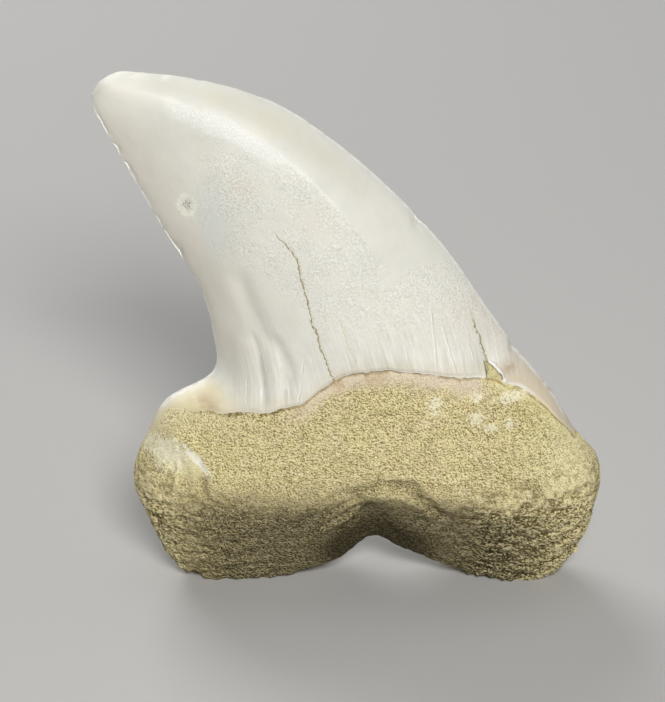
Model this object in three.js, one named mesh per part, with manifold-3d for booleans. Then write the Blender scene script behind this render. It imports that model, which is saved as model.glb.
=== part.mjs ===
// Fossil mako shark tooth, one solid: hooked enamel crown on a thick two-lobed root.
// Millimetres, +Z up. The tooth stands on the worn undersides of its two root lobes, with its
// bulging inner (lingual) face towards -Y, its flat outer (labial) face towards +Y and its tip
// towards -X. The origin is on the ground, under the middle of the tooth's box.
//
// The skin is one closed surface of two parameters. Rings run from the seam under the root up
// to the tip, and each ring is a closed section across the tooth, from its left edge over the
// inner face to its right edge and back over the outer face.

import * as THREE from 'three';
import { mergeVertices } from 'three/addons/utils/BufferGeometryUtils.js';
import Module from 'manifold-3d';

// Sections of the tooth, from the feet of the lobes to the tip. Each one has the place of its
// left and right edge in the plane of the blade (across, up), how far that edge lies behind the
// plane, and how far the inner and the outer face stand out from it.
const SECTIONS = [
  // left edge      right edge   back  inner outer
  [-20.6, 3.0, 24.9, 3.0, -1.0, 6.4, 6.8], // feet of the lobes
  [-22.5, 8.0, 26.6, 9.0, -1.0, 7.7, 6.2],
  [-23.8, 12.8, 26.8, 14.0, -1.0, 8.8, 5.6], // widest part of the lobes
  [-22.2, 17.3, 24.1, 17.8, -0.9, 8.1, 5.0], // notch between lobe and heel
  [-20.1, 21.0, 21.6, 22.0, -0.4, 7.4, 3.8], // enamel heels
  [-15.1, 24.1, 18.4, 26.0, 0.0, 6.9, 2.9],
  [-15.0, 28.5, 14.8, 31.0, 0.0, 6.6, 2.5], // neck, where the hook is hollowest
  [-16.4, 34.0, 10.1, 38.0, 0.0, 6.1, 2.3],
  [-19.4, 39.1, 4.6, 44.3, 0.0, 5.5, 2.1],
  [-22.4, 44.7, -1.8, 50.1, 0.0, 4.8, 1.9],
  [-24.8, 49.2, -8.4, 54.5, 0.0, 3.9, 1.7],
  [-26.7, 52.7, -16.1, 56.9, 0.0, 2.8, 1.3],
  [-27.25, 54.7, -23.2, 57.75, 0.0, 1.8, 1.0],
  [-27.05, 55.6, -25.15, 57.45, 0.0, 1.1, 0.7],
  [-26.45, 56.65, -26.45, 56.65, 0.0, 0.0, 0.0], // blunt, worn tip
];
const SPANS = SECTIONS.length - 1;
const NOTCH = 3; // sections, counted from the feet
const NECK = 6;
const ROUND_SECTION_END = 7; // the boxy root section has turned into the crown's lens here
const SKEW_END = 10;

// Underside of the root at equal steps across: two lobes and the arch between them (across, up).
const UNDERSIDE = [
  [-20.6, 3.0], [-18.3, 0.7], [-14.0, -0.4], [-9.6, -0.2], [-5.4, 0.7], [-1.6, 2.1], [2.2, 4.9],
  [5.4, 3.6], [9.9, 1.6], [14.4, 0.1], [18.3, -0.6], [22.0, 0.3], [24.9, 3.0],
];
const UNDERSIDE_REACH = 6; // sections over which the arch's shape fades out
const SHOULDER = 13.5; // height from which the inner face of the root turns under
const SHOULDER_POWER = 1.3;
const ROUNDING = 7; // radius under the outer face
const ROUNDING_POWER = 3;

// Edge of the enamel at equal steps across the tooth, from heel to heel.
const ENAMEL_FROM = -21.8;
const ENAMEL_TO = 24.0;
const ENAMEL_INNER = [17.8, 20.9, 21.6, 22.0, 23.3, 26.1, 26.7, 26.4, 25.6, 24.9, 22.4, 17.6];
const ENAMEL_OUTER = [17.8, 19.0, 19.3, 20.0, 21.0, 22.0, 22.4, 22.0, 21.0, 20.0, 18.8, 17.6];
const LEDGE = 0.4; // how far the root lies back at the edge of the enamel
const LEDGE_REACH = 2.5; // how far below that edge it has swelled out again
const LEDGE_LEFT_FADE = 4; // one over the share of the tooth's width that the ledge fades in on
const LEDGE_RIGHT_FADE = 8;

const LENS_SKEW = 0.22; // how far the crown's crest lies to the right
const LEAN = 7; // degrees that the blade leans back as it stands
const WEAR = 0.55; // height worn off flat under each lobe
const PLACE = new THREE.Vector3(0.1, 0.125, 0.74); // from the blade's own origin to the ground

const COLUMNS = 62; // points round each section
const ROOT_RINGS = 25;
const CROWN_RINGS = 45;

const vec = (x, y, z) => new THREE.Vector3(x, y, z);
const smooth = (x) => THREE.MathUtils.smoothstep(x, 0, 1);
const spline = (points) => new THREE.CatmullRomCurve3(points, false, 'catmullrom', 0.5);

const leftEdge = spline(SECTIONS.map((s) => vec(s[0], s[4], s[1])));
const rightEdge = spline(SECTIONS.map((s) => vec(s[2], s[4], s[3])));
const depths = spline(SECTIONS.map((s) => vec(s[5], s[6], 0)));
const underside = spline(UNDERSIDE.map(([across, up]) => vec(across, 0, up)));
const enamelInner = spline(ENAMEL_INNER.map((up) => vec(0, 0, up)));
const enamelOuter = spline(ENAMEL_OUTER.map((up) => vec(0, 0, up)));

// A soft round swelling, or a dent where its height is negative.
function swelling(point, across, up, width, height, amount) {
  const x = (point.x - across) / width;
  const z = (point.z - up) / height;
  return amount * Math.exp(-0.5 * (x * x + z * z));
}

// A soft ridge along a straight line between two places (across, up), or a crease where its
// height is negative.
function ridge(point, from, to, width, amount) {
  const run = new THREE.Vector2(to[0] - from[0], to[1] - from[1]);
  const reach = new THREE.Vector2(point.x - from[0], point.z - from[1]);
  const along = THREE.MathUtils.clamp(reach.dot(run) / run.lengthSq(), 0, 1);
  const off = reach.sub(run.multiplyScalar(along)).length() / width;
  return amount * Math.exp(-0.5 * off * off);
}

function enamelShare(across) {
  return THREE.MathUtils.clamp((across - ENAMEL_FROM) / (ENAMEL_TO - ENAMEL_FROM), 0, 1);
}

function enamelEdge(across, inner) {
  const line = inner ? enamelInner : enamelOuter;
  return line.getPoint(enamelShare(across)).z;
}

// The step down from the enamel to the root, which swells out again below it. The step fades
// towards the heels.
function ledge(point, inner) {
  const share = enamelShare(point.x);
  const heels = smooth(share * LEDGE_LEFT_FADE) * smooth((1 - share) * LEDGE_RIGHT_FADE);
  const below = Math.max(enamelEdge(point.x, inner) - point.z, 0);
  return -LEDGE * heels * Math.exp(-below / LEDGE_REACH);
}

// The form that the inner face has on top of its plain bulge.
function innerRelief(point, onEnamel) {
  if (!onEnamel) {
    return (
      ledge(point, true) +
      swelling(point, 2.3, 7.0, 1.5, 3.2, -1.2) + // central groove
      ridge(point, [-1.8, 14.9], [1.6, 15.2], 0.8, -0.5) +
      ridge(point, [3.5, 15.2], [8.5, 13.1], 0.8, -0.45) +
      ridge(point, [-2.4, 9.8], [1.1, 13.6], 0.9, 0.5) +
      ridge(point, [4.6, 13.6], [10.0, 10.6], 1.0, 0.5) +
      ridge(point, [-18.4, 18.2], [-14.6, 14.6], 1.0, 0.45) +
      swelling(point, -12.0, 10.0, 4.5, 4.0, 0.4) + // left lobe
      swelling(point, 17.5, 10.0, 4.5, 4.5, 0.5) // right lobe
    );
  }
  const folds = 0.2 * Math.cos((point.x + 10.9) * 2.1);
  return (
    ridge(point, [-16.1, 54.4], [-7.0, 49.9], 1.5, 0.25) +
    ridge(point, [-7.0, 49.9], [1.8, 40.8], 1.6, 0.3) +
    swelling(point, -9.8, 27.0, 2.6, 4.5, folds) +
    ridge(point, [-10.2, 23.2], [-12.2, 33.5], 0.8, -0.3) +
    swelling(point, -17.3, 44.3, 0.9, 0.9, -0.4) + // pit
    swelling(point, 14.4, 26.6, 0.8, 1.4, -0.5) // chip in the edge of the enamel
  );
}

// The form that the outer face has on top of its plain, nearly flat blade.
function outerRelief(point, onEnamel) {
  if (!onEnamel) {
    return (
      ledge(point, false) +
      swelling(point, 2.3, 11.0, 4.5, 4.5, -0.9) +
      swelling(point, -13.0, 10.0, 5.0, 4.5, 0.4) +
      swelling(point, 17.5, 10.0, 5.0, 4.5, 0.4)
    );
  }
  return swelling(point, 1.5, 25.0, 5.0, 3.5, -0.5);
}

// The plain form at height t (0 at the seam, 1 at the tip) and place s across (-1 to 1).
function bulge(t, s, inner) {
  const left = leftEdge.getPoint(t);
  const right = rightEdge.getPoint(t);
  const depth = depths.getPoint(t);
  const share = (s + 1) / 2;
  const point = left.clone().lerp(right, share);
  const under = underside.getPoint(share);
  const footLine = leftEdge.getPoint(0).lerp(rightEdge.getPoint(0), share);
  const fade = 1 - smooth((t * SPANS) / UNDERSIDE_REACH);
  point.x += fade * (under.x - footLine.x);
  point.z += fade * (under.z - footLine.z);

  const turnPower = inner ? SHOULDER_POWER : ROUNDING_POWER;
  const turnHeight = inner ? SHOULDER - under.z : ROUNDING;
  const rise = THREE.MathUtils.clamp((point.z - under.z) / turnHeight, 0, 1);
  const rounding = (1 - (1 - rise) ** turnPower) ** (1 / turnPower);
  const crown = smooth((t * SPANS - NOTCH) / (ROUND_SECTION_END - NOTCH));
  const skew = inner ? LENS_SKEW * smooth((t * SPANS - NECK) / (SKEW_END - NECK)) : 0;
  const shifted = Math.abs(s - skew * (1 - s * s));
  const power = THREE.MathUtils.lerp(3, 2, crown);
  const edge = THREE.MathUtils.lerp(0.5, 0.82, crown);
  const profile = Math.max(1 - shifted ** power, 0) ** edge;
  point.y += (inner ? -depth.x : depth.y) * profile * rounding;
  return point;
}

// Height t at which the edge of the enamel crosses the column at s, found by halving.
function enamelHeight(s, inner) {
  let low = 1 / SPANS;
  let high = (NECK + 1) / SPANS;
  for (let step = 0; step < 24; step += 1) {
    const middle = (low + high) / 2;
    const point = bulge(middle, s, inner);
    if (point.z > enamelEdge(point.x, inner)) {
      high = middle;
    } else {
      low = middle;
    }
  }
  return (low + high) / 2;
}

// Heights of the rings in one column. The root's rings crowd towards the seam, and one pair of
// rings lies along the edge of the enamel, as the ledge there.
function columnHeights(s, inner) {
  const line = enamelHeight(s, inner);
  const heights = [];
  for (let ring = 0; ring <= ROOT_RINGS; ring += 1) {
    heights.push(line * (ring / ROOT_RINGS) ** 1.5);
  }
  for (let ring = 0; ring < CROWN_RINGS; ring += 1) {
    const share = ring / CROWN_RINGS;
    heights.push(line + 0.004 + (1 - line - 0.004) * share);
  }
  return heights;
}

// All rings as arrays of points, then the relief along the surface's own normals.
function toothRings() {
  const half = COLUMNS / 2;
  const columns = [];
  for (let column = 0; column < COLUMNS; column += 1) {
    const angle = (column / half) * Math.PI;
    const s = -Math.cos(angle);
    const inner = column <= half;
    columns.push(columnHeights(s, inner).map((t) => bulge(t, s, inner)));
  }
  const ringCount = columns[0].length;
  return columns.map((points, column) => {
    const before = columns[(column + COLUMNS - 1) % COLUMNS];
    const after = columns[(column + 1) % COLUMNS];
    const mirror = columns[(COLUMNS - column) % COLUMNS];
    return points.map((point, ring) => {
      const up = points[Math.min(ring + 1, ringCount - 1)].clone();
      up.sub(ring === 0 ? mirror[1] : points[ring - 1]);
      const across = ring === 0 ? vec(1, 0, 0) : after[ring].clone().sub(before[ring]);
      const normal = ring === 0 ? vec(0, 0, -1) : across.cross(up).normalize();
      const onEnamel = ring > ROOT_RINGS;
      const inner = innerRelief(point, onEnamel);
      const outer = outerRelief(point, onEnamel);
      const facing = smooth(0.5 - normal.y * 0.7);
      const endFade = smooth(ring / 6) * smooth((ringCount - ring) / 8);
      return point.clone().addScaledVector(normal, endFade * (outer + (inner - outer) * facing));
    });
  });
}

// The closed mesh through the rings, with one point at the tip.
function toothGeometry() {
  const columns = toothRings();
  const ringCount = columns[0].length;
  const tip = bulge(1, 0, true);
  const positions = [];
  const faces = [];
  columns.forEach((points) => points.forEach((point) => positions.push(...point.toArray())));
  positions.push(...tip.toArray());
  const tipIndex = positions.length / 3 - 1;
  const half = COLUMNS / 2;
  // Under the root the inner and outer columns share the seam's points.
  const index = (column, ring) => {
    const round = column % COLUMNS;
    const shared = ring === 0 && round > half ? COLUMNS - round : round;
    return shared * ringCount + ring;
  };
  const addFace = (a, b, c) => {
    if (a !== b && b !== c && c !== a) {
      faces.push(a, b, c);
    }
  };
  for (let column = 0; column < COLUMNS; column += 1) {
    for (let ring = 0; ring < ringCount - 1; ring += 1) {
      const a = index(column, ring);
      const b = index(column + 1, ring);
      const c = index(column + 1, ring + 1);
      const d = index(column, ring + 1);
      addFace(a, b, c);
      addFace(a, c, d);
    }
    addFace(index(column, ringCount - 1), index(column + 1, ringCount - 1), tipIndex);
  }
  const geometry = new THREE.BufferGeometry();
  geometry.setAttribute('position', new THREE.Float32BufferAttribute(positions, 3));
  geometry.setIndex(faces);
  geometry.rotateX(THREE.MathUtils.degToRad(-LEAN));
  geometry.translate(PLACE.x, PLACE.y, PLACE.z - WEAR);
  return geometry;
}

function toManifold(wasm, source) {
  const bare = source.index ? source.toNonIndexed() : source.clone();
  bare.deleteAttribute('normal');
  bare.deleteAttribute('uv');
  const merged = mergeVertices(bare, 1e-4);
  return new wasm.Manifold(new wasm.Mesh({
    numProp: 3,
    vertProperties: new Float32Array(merged.attributes.position.array),
    triVerts: new Uint32Array(merged.index.array),
  }));
}

function fromManifold(solid) {
  const mesh = solid.getMesh();
  const geometry = new THREE.BufferGeometry();
  geometry.setAttribute('position', new THREE.BufferAttribute(mesh.vertProperties, 3));
  geometry.setIndex(new THREE.BufferAttribute(mesh.triVerts, 1));
  return geometry;
}

const wasm = await Module();
wasm.setup();

const ground = new THREE.BoxGeometry(80, 60, 10).translate(0, 0, -5);
const worn = toManifold(wasm, toothGeometry()).subtract(toManifold(wasm, ground));
const toothSkin = fromManifold(worn);
toothSkin.computeVertexNormals();

const tooth = new THREE.Mesh(
  toothSkin,
  new THREE.MeshStandardMaterial({ color: 0xd9d2b8, roughness: 0.55, metalness: 0 }),
);
tooth.name = 'tooth';

const fossil = new THREE.Group();
fossil.add(tooth);

export default fossil;
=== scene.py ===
"""Fossil mako shark tooth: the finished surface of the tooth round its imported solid.

The tooth is one skin of two parameters, as its solid is. Rings run from the seam under the root
up to the tip, and each ring is a closed section across the tooth, from its left edge over the
inner face to its right edge and back over the outer face. Here the rings are fine enough for the
root's grain, and the enamel and the root have materials of their own.

Lengths in the tooth's own tables are millimetres. Across runs to the right, up runs up the blade
and out is the way off the plane of the blade, towards the outer face. Blender gets metres.
"""

import math
from types import SimpleNamespace

import bpy
import numpy as np
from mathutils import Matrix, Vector


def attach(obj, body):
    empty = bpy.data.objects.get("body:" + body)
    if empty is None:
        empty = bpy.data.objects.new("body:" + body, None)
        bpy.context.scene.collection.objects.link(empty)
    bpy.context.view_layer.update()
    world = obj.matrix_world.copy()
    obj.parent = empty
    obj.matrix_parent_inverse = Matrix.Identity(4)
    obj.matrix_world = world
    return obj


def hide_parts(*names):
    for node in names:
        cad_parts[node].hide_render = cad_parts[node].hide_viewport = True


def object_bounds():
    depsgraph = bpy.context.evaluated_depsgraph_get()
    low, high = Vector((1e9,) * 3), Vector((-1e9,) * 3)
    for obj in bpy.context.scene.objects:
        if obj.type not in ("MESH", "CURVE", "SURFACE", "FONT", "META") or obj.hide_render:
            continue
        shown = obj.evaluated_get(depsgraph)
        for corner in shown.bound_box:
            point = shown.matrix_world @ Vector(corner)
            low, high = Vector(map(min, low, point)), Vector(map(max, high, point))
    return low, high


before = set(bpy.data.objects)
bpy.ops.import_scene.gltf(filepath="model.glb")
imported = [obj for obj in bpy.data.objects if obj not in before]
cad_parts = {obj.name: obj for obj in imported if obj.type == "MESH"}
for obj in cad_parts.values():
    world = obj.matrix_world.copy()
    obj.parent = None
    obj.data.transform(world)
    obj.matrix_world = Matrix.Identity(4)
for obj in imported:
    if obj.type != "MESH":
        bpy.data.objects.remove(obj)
CAD_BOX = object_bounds()

bl_info = {
    "name": "Fossil Shark Tooth",
    "version": (1, 0, 0),
    "blender": (4, 5, 0),
    "location": "3D View > Sidebar > Tooth",
    "description": "Builds a hooked fossil shark tooth with its enamel, its root and a studio",
    "category": "Object",
}

MM = 0.001

# ---------------------------------------------------------------------------------------------
# The tooth's form, with the same named values as its solid
# ---------------------------------------------------------------------------------------------

SECTIONS = np.array([
    # left edge      right edge   back  inner outer
    (-20.6, 3.0, 24.9, 3.0, -1.0, 6.4, 6.8),  # feet of the lobes
    (-22.5, 8.0, 26.6, 9.0, -1.0, 7.7, 6.2),
    (-23.8, 12.8, 26.8, 14.0, -1.0, 8.8, 5.6),  # widest part of the lobes
    (-22.2, 17.3, 24.1, 17.8, -0.9, 8.1, 5.0),  # notch between lobe and heel
    (-20.1, 21.0, 21.6, 22.0, -0.4, 7.4, 3.8),  # enamel heels
    (-15.1, 24.1, 18.4, 26.0, 0.0, 6.9, 2.9),
    (-15.0, 28.5, 14.8, 31.0, 0.0, 6.6, 2.5),  # neck, where the hook is hollowest
    (-16.4, 34.0, 10.1, 38.0, 0.0, 6.1, 2.3),
    (-19.4, 39.1, 4.6, 44.3, 0.0, 5.5, 2.1),
    (-22.4, 44.7, -1.8, 50.1, 0.0, 4.8, 1.9),
    (-24.8, 49.2, -8.4, 54.5, 0.0, 3.9, 1.7),
    (-26.7, 52.7, -16.1, 56.9, 0.0, 2.8, 1.3),
    (-27.25, 54.7, -23.2, 57.75, 0.0, 1.8, 1.0),
    (-27.05, 55.6, -25.15, 57.45, 0.0, 1.1, 0.7),
    (-26.45, 56.65, -26.45, 56.65, 0.0, 0.0, 0.0),  # blunt, worn tip
])
SPANS = len(SECTIONS) - 1
NOTCH = 3  # this and the next three are numbers of sections, from the feet up
NECK = 6
ROUND_SECTION_END = 7
SKEW_END = 10

UNDERSIDE = np.array([
    (-20.6, 3.0), (-18.3, 0.7), (-14.0, -0.4), (-9.6, -0.2), (-5.4, 0.7), (-1.6, 2.1), (2.2, 4.9),
    (5.4, 3.6), (9.9, 1.6), (14.4, 0.1), (18.3, -0.6), (22.0, 0.3), (24.9, 3.0),
])
UNDERSIDE_REACH = 6  # section from which the underside no longer bends the form
SHOULDER = 13.5  # height from which the inner face of the root turns under
SHOULDER_POWER = 1.3
ROUNDING = 7.0  # radius under the outer face
ROUNDING_POWER = 3.0

ENAMEL_FROM = -21.8
ENAMEL_TO = 24.0
ENAMEL_INNER = (17.8, 20.9, 21.6, 22.0, 23.3, 26.1, 26.7, 26.4, 25.6, 24.9, 22.4, 17.6)
ENAMEL_OUTER = (17.8, 19.0, 19.3, 20.0, 21.0, 22.0, 22.4, 22.0, 21.0, 20.0, 18.8, 17.6)
LEDGE = 0.4  # how deep the step from the enamel to the root is
LEDGE_REACH = 2.5
LEDGE_LEFT_FADE = 4  # one over the share of the tooth's width that the ledge fades in on
LEDGE_RIGHT_FADE = 8

ROOT_POWER, CROWN_POWER = 3, 2  # of a section's profile
ROOT_EDGE, CROWN_EDGE = 0.5, 0.82
LENS_SKEW = 0.22
LEAN = math.radians(7)
WEAR = 0.55  # how much the lobes' feet have worn down flat
PLACE = np.array((0.1, 0.125, 0.74 - WEAR))

# The skin's grid: the root's rings have twice as many columns as the crown's.
ROOT_COLUMNS = 560
ROOT_RINGS = 112
CROWN_RINGS = 128
FIRST_CROWN_STEP = 0.004  # in heights t, the width of the ledge's face
COLUMN_EVENING = 0.12  # how much the columns' angle slows down in the middle of each face
SEAM_CROWDING = 1.3  # power by which the root's rings crowd towards the seam

# The relief fades in over the solid's first 6 rings of 25 and fades out over its last 8 of 45.
SEAM_FADE = 6
SEAM_FADE_OF = 25
TIP_FADE = 8
TIP_FADE_OF = 45

# A lane is a fibre's place across at this height, above which it bends to the left.
LANE_BASE = 24
LANE_SLOPE = 0.15
LANE_BEND = 0.014

# Cracks in the inner face: each one's places across at equal steps up, the heights it runs
# between, its width and how strongly it shows. The last isn't deep enough to be a groove.
CRACKS = (
    ("long_crack", (-2.0, -3.0, -4.1, -4.7, -5.4, -6.6, -9.4), (25.4, 43.0), 0.06, 0.65),
    ("chip_crack", (14.7, 14.45, 13.45, 12.75, 12.4), (25.4, 33.0), 0.06, 0.6),
    ("faint_crack", (0.4, -0.5, -1.3, -2.3), (27.6, 34.2), 0.04, 0.3),
)
GROOVED_CRACKS = 2

PIT = (-17.4, 44.0)
CREST = (57.0, 56.4, 55.5, 54.4, 53.0, 51.0, 48.4, 45.2, 41.4, 37.2)  # up, at even steps across
CREST_SPAN = (-26.0, 4.0)

# Hair-thin pale lines at the crown's base, each from one (across, up) to another.
HAIRLINES = (
    ((8.2, 33.3), (8.9, 26.8)), ((9.4, 31.2), (10.9, 26.2)), ((12.1, 29.3), (12.8, 27.3)),
    ((-11.4, 25.0), (-11.4, 22.6)), ((-5.5, 25.2), (-5.8, 23.2)), ((-5.2, 28.0), (-5.4, 26.4)),
)

# Larger nicks in the cutting edges: across, up, size and depth.
NICKS = (
    (-18.6, 37.9, 0.7, 0.16), (7.0, 41.7, 0.6, 0.24), (17.4, 27.3, 0.5, 0.3),
    (18.1, 26.3, 0.5, 0.14),
)

# Swellings and hollows: across, up, width, height and how far out.
GROOVE = (2.3, 7.0, 1.5, 3.2, -1.2)
INNER_LEFT_LOBE = (-12.0, 10.0, 4.5, 4.0, 0.4)
INNER_RIGHT_LOBE = (17.5, 10.0, 4.5, 4.5, 0.5)
PIT_HOLLOW = (*PIT, 0.8, 0.8, -0.15)
CHIP_HOLLOW = (14.4, 26.6, 0.8, 1.4, -0.5)
OUTER_GROOVE = (2.3, 11.0, 4.5, 4.5, -0.9)
OUTER_LEFT_LOBE = (-13.0, 10.0, 5.0, 4.5, 0.4)
OUTER_RIGHT_LOBE = (17.5, 10.0, 5.0, 4.5, 0.4)
OUTER_BASE = (1.5, 25.0, 5.0, 3.5, -0.5)

# Folds: the line in (across, up), the width and how far out.
SCAR_FOLD = (((-18.4, 18.2), (-14.6, 14.6)), 1.0, 0.4)
SCAR_HOLLOW = (((-20.8, 16.4), (-18.0, 15.6)), 1.3, -0.15)
HIGH_CREST = (((-15.0, 53.9), (-9.5, 51.2), (-4.6, 47.3)), 1.3, 0.26)
LOW_CREST = (((-4.6, 47.3), (-1.4, 44.4), (1.8, 40.4)), 1.6, 0.25)

# Folds over the arch, in the same way.
ARCH_FOLDS = (
    (((-2.4, 13.4), (-0.5, 14.4), (1.9, 14.1)), 0.3, -0.4),
    (((2.2, 14.3), (3.2, 15.2), (4.9, 15.0)), 0.35, -0.4),
    (((5.0, 14.9), (6.4, 14.2), (8.3, 12.5), (9.6, 11.0)), 0.5, -0.6),
    (((3.4, 13.6), (4.9, 13.3), (7.0, 12.1), (8.8, 10.9)), 0.6, 0.35),
    (((7.0, 15.2), (9.0, 13.6), (10.6, 11.8)), 0.5, 0.25),
    (((-3.8, 11.5), (-1.8, 12.9), (0.2, 13.9)), 0.3, 0.22),
    (((-2.6, 12.2), (-0.6, 13.7), (0.9, 13.9)), 0.22, -0.28),
    (((-2.4, 10.9), (-0.9, 12.7), (1.5, 13.4)), 0.24, -0.3),
    (((-2.8, 10.0), (-1.0, 11.8), (0.8, 12.8)), 0.26, 0.25),
    (((-3.2, 9.2), (-0.9, 10.9), (0.8, 12.0)), 0.24, -0.35),
    (((-2.9, 8.2), (-1.0, 9.8), (0.6, 11.0)), 0.36, 0.35),
    (((-0.9, 8.0), (1.2, 9.6), (2.2, 11.6)), 0.5, -0.5),
    (((-6.5, 11.6), (-4.0, 12.4), (-2.0, 14.2)), 0.5, 0.22),
    (((-7.0, 9.6), (-4.4, 10.4), (-3.0, 11.4)), 0.45, -0.25),
)

# Folds at the base of the crown, in the same way.
CROWN_FOLDS = (
    (((-11.8, 35.6), (-10.6, 33.0), (-9.8, 30.8), (-8.9, 28.8)), 0.75, -0.3),
    (((-10.7, 29.4), (-9.8, 26.0), (-9.4, 23.0)), 0.34, -0.24),
    (((-11.9, 28.5), (-11.2, 26.0), (-10.7, 23.0)), 0.6, 0.14),
    (((-8.6, 27.6), (-8.3, 25.4), (-8.1, 23.2)), 0.5, 0.14),
    (((-8.0, 29.4), (-7.2, 27.2), (-6.7, 25.2)), 0.5, -0.2),
    (((-6.2, 28.6), (-5.8, 26.4), (-5.6, 24.4)), 0.5, 0.14),
    (((-14.0, 28.0), (-13.4, 25.0), (-13.0, 23.2)), 0.8, -0.1),
)


def smooth(x):
    """Smoothstep from 0 to 1."""
    x = np.clip(x, 0.0, 1.0)
    return x * x * (3 - 2 * x)


def spline(points, t):
    """Uniform Catmull-Rom curve through the points, at every t from 0 to 1: each span is the
    cubic that takes its end slopes from the neighbouring points."""
    points = np.asarray(points, dtype=float)
    if points.ndim == 1:
        return spline(points[:, None], t)[..., 0]
    last = len(points) - 1
    x = np.clip(t, 0.0, 1.0) * last
    i = np.minimum(x.astype(int), last - 1)
    w = (x - i)[..., None]
    first_out = 2 * points[:1] - points[1:2]
    last_out = 2 * points[-1:] - points[-2:-1]
    p = np.vstack([first_out, points, last_out])
    slope_in = (p[i + 2] - p[i]) / 2
    slope_out = (p[i + 3] - p[i + 1]) / 2
    rise = p[i + 2] - p[i + 1]
    square = 3 * rise - 2 * slope_in - slope_out
    cube = slope_in + slope_out - 2 * rise
    return p[i + 1] + w * (slope_in + w * (square + w * cube))


def lattice(ix, iy, iz, seed):
    """Fixed random values from 0 to 1 at whole-number places: the places times large odd
    numbers, mixed by shifts and products."""
    key = (
        ix.astype(np.uint32) * np.uint32(0x8DA6B343)
        ^ iy.astype(np.uint32) * np.uint32(0xD8163841)
        ^ iz.astype(np.uint32) * np.uint32(0xCB1AB31F)
        ^ np.uint32(seed * 7919 + 1)
    )
    key ^= key >> np.uint32(13)
    key *= np.uint32(0x5BD1E995)
    key ^= key >> np.uint32(15)
    key *= np.uint32(0x27D4EB2D)
    key ^= key >> np.uint32(13)
    return (key & np.uint32(0xFFFF)) / 65535.0


def noise(p, size, seed):
    """Smooth noise from -1 to 1: lattice values a size apart, blended by smoothstep weights."""
    q = p / np.asarray(size)
    cell = np.floor(q).astype(np.int64)
    w = q - cell
    w = w * w * (3 - 2 * w)
    total = np.zeros(q.shape[:-1])
    for corner in range(8):
        step = np.array([corner & 1, corner >> 1 & 1, corner >> 2])
        weight = np.prod(np.where(step, w, 1 - w), axis=-1)
        total += weight * lattice(*np.moveaxis(cell + step, -1, 0), seed)
    return 2 * total - 1


def enamel_edge(across, inner):
    """Height of the enamel's edge at a place across, on the inner or the outer face."""
    share = (across - ENAMEL_FROM) / (ENAMEL_TO - ENAMEL_FROM)
    flat = np.stack([across, np.zeros_like(across), np.zeros_like(across)], axis=-1)
    waver = noise(flat, 1.3, 31) * 0.12 + noise(flat, 0.5, 32) * 0.07
    return np.where(inner, spline(ENAMEL_INNER, share), spline(ENAMEL_OUTER, share)) + waver


def bulge(t, s, inner):
    """The plain form at height t (0 at the seam, 1 at the tip) and place s across (-1 to 1).
    The section's chord runs from the left to the right edge curve, and bends down to the
    underside near the seam. Off it stands a profile 1 - |s|^n to a power, a boxy one on the root
    and a skewed lens on the crown, times the depth of that face and the rounding underneath."""
    q = spline(SECTIONS, t)
    left, right, back = q[..., 0:2], q[..., 2:4], q[..., 4]
    depth_in, depth_out = q[..., 5], q[..., 6]
    share = (s + 1) / 2
    under = spline(UNDERSIDE, share)
    foot_left, foot_right = SECTIONS[0, 0:2], SECTIONS[0, 2:4]
    foot_line = foot_left + (foot_right - foot_left) * share[..., None]
    fade = 1 - smooth(t * SPANS / UNDERSIDE_REACH)
    place = left + (right - left) * share[..., None] + fade[..., None] * (under - foot_line)

    power = np.where(inner, SHOULDER_POWER, ROUNDING_POWER)
    reach = np.where(inner, SHOULDER - under[..., 1], ROUNDING)
    rise = np.clip((place[..., 1] - under[..., 1]) / reach, 0, 1)
    rounding = (1 - (1 - rise) ** power) ** (1 / power)
    crown = smooth((t * SPANS - NOTCH) / (ROUND_SECTION_END - NOTCH))
    skew = np.where(inner, LENS_SKEW * smooth((t * SPANS - NECK) / (SKEW_END - NECK)), 0.0)
    shifted = np.abs(s - skew * (1 - s * s))
    power = ROOT_POWER + (CROWN_POWER - ROOT_POWER) * crown
    edge = ROOT_EDGE + (CROWN_EDGE - ROOT_EDGE) * crown
    profile = np.maximum(1 - shifted ** power, 0) ** edge
    out = back + np.where(inner, -depth_in, depth_out) * profile * rounding
    return np.stack([place[..., 0], out, place[..., 1]], axis=-1)


def enamel_height(s, inner):
    """Height t at which the enamel's edge crosses each column, found by halving."""
    low = np.full(s.shape, 1 / SPANS)
    high = np.full(s.shape, (NECK + 1) / SPANS)
    for _ in range(24):
        middle = (low + high) / 2
        point = bulge(middle, s, inner)
        over = point[..., 2] > enamel_edge(point[..., 0], inner)
        high = np.where(over, middle, high)
        low = np.where(over, low, middle)
    return (low + high) / 2


# ---------------------------------------------------------------------------------------------
# Relief
# ---------------------------------------------------------------------------------------------

def swelling(p, across, up, width, height, amount):
    """A soft round swelling: amount times a bell curve of the distance in widths and heights."""
    x = (p[..., 0] - across) / width
    z = (p[..., 2] - up) / height
    return amount * np.exp(-0.5 * (x * x + z * z))


def fold(p, path, width, amount):
    """A soft ridge along a bent line: amount times a bell curve of the distance to the nearest
    straight piece of the line."""
    place = p[..., (0, 2)]
    nearest = np.full(place.shape[:-1], np.inf)
    for start, end in zip(path[:-1], path[1:]):
        run = np.subtract(end, start)
        along = np.clip((place - start) @ run / (run @ run), 0, 1)
        apart = place - start - along[..., None] * run
        nearest = np.minimum(nearest, np.linalg.norm(apart, axis=-1))
    return amount * np.exp(-0.5 * (nearest / width) ** 2)


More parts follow.
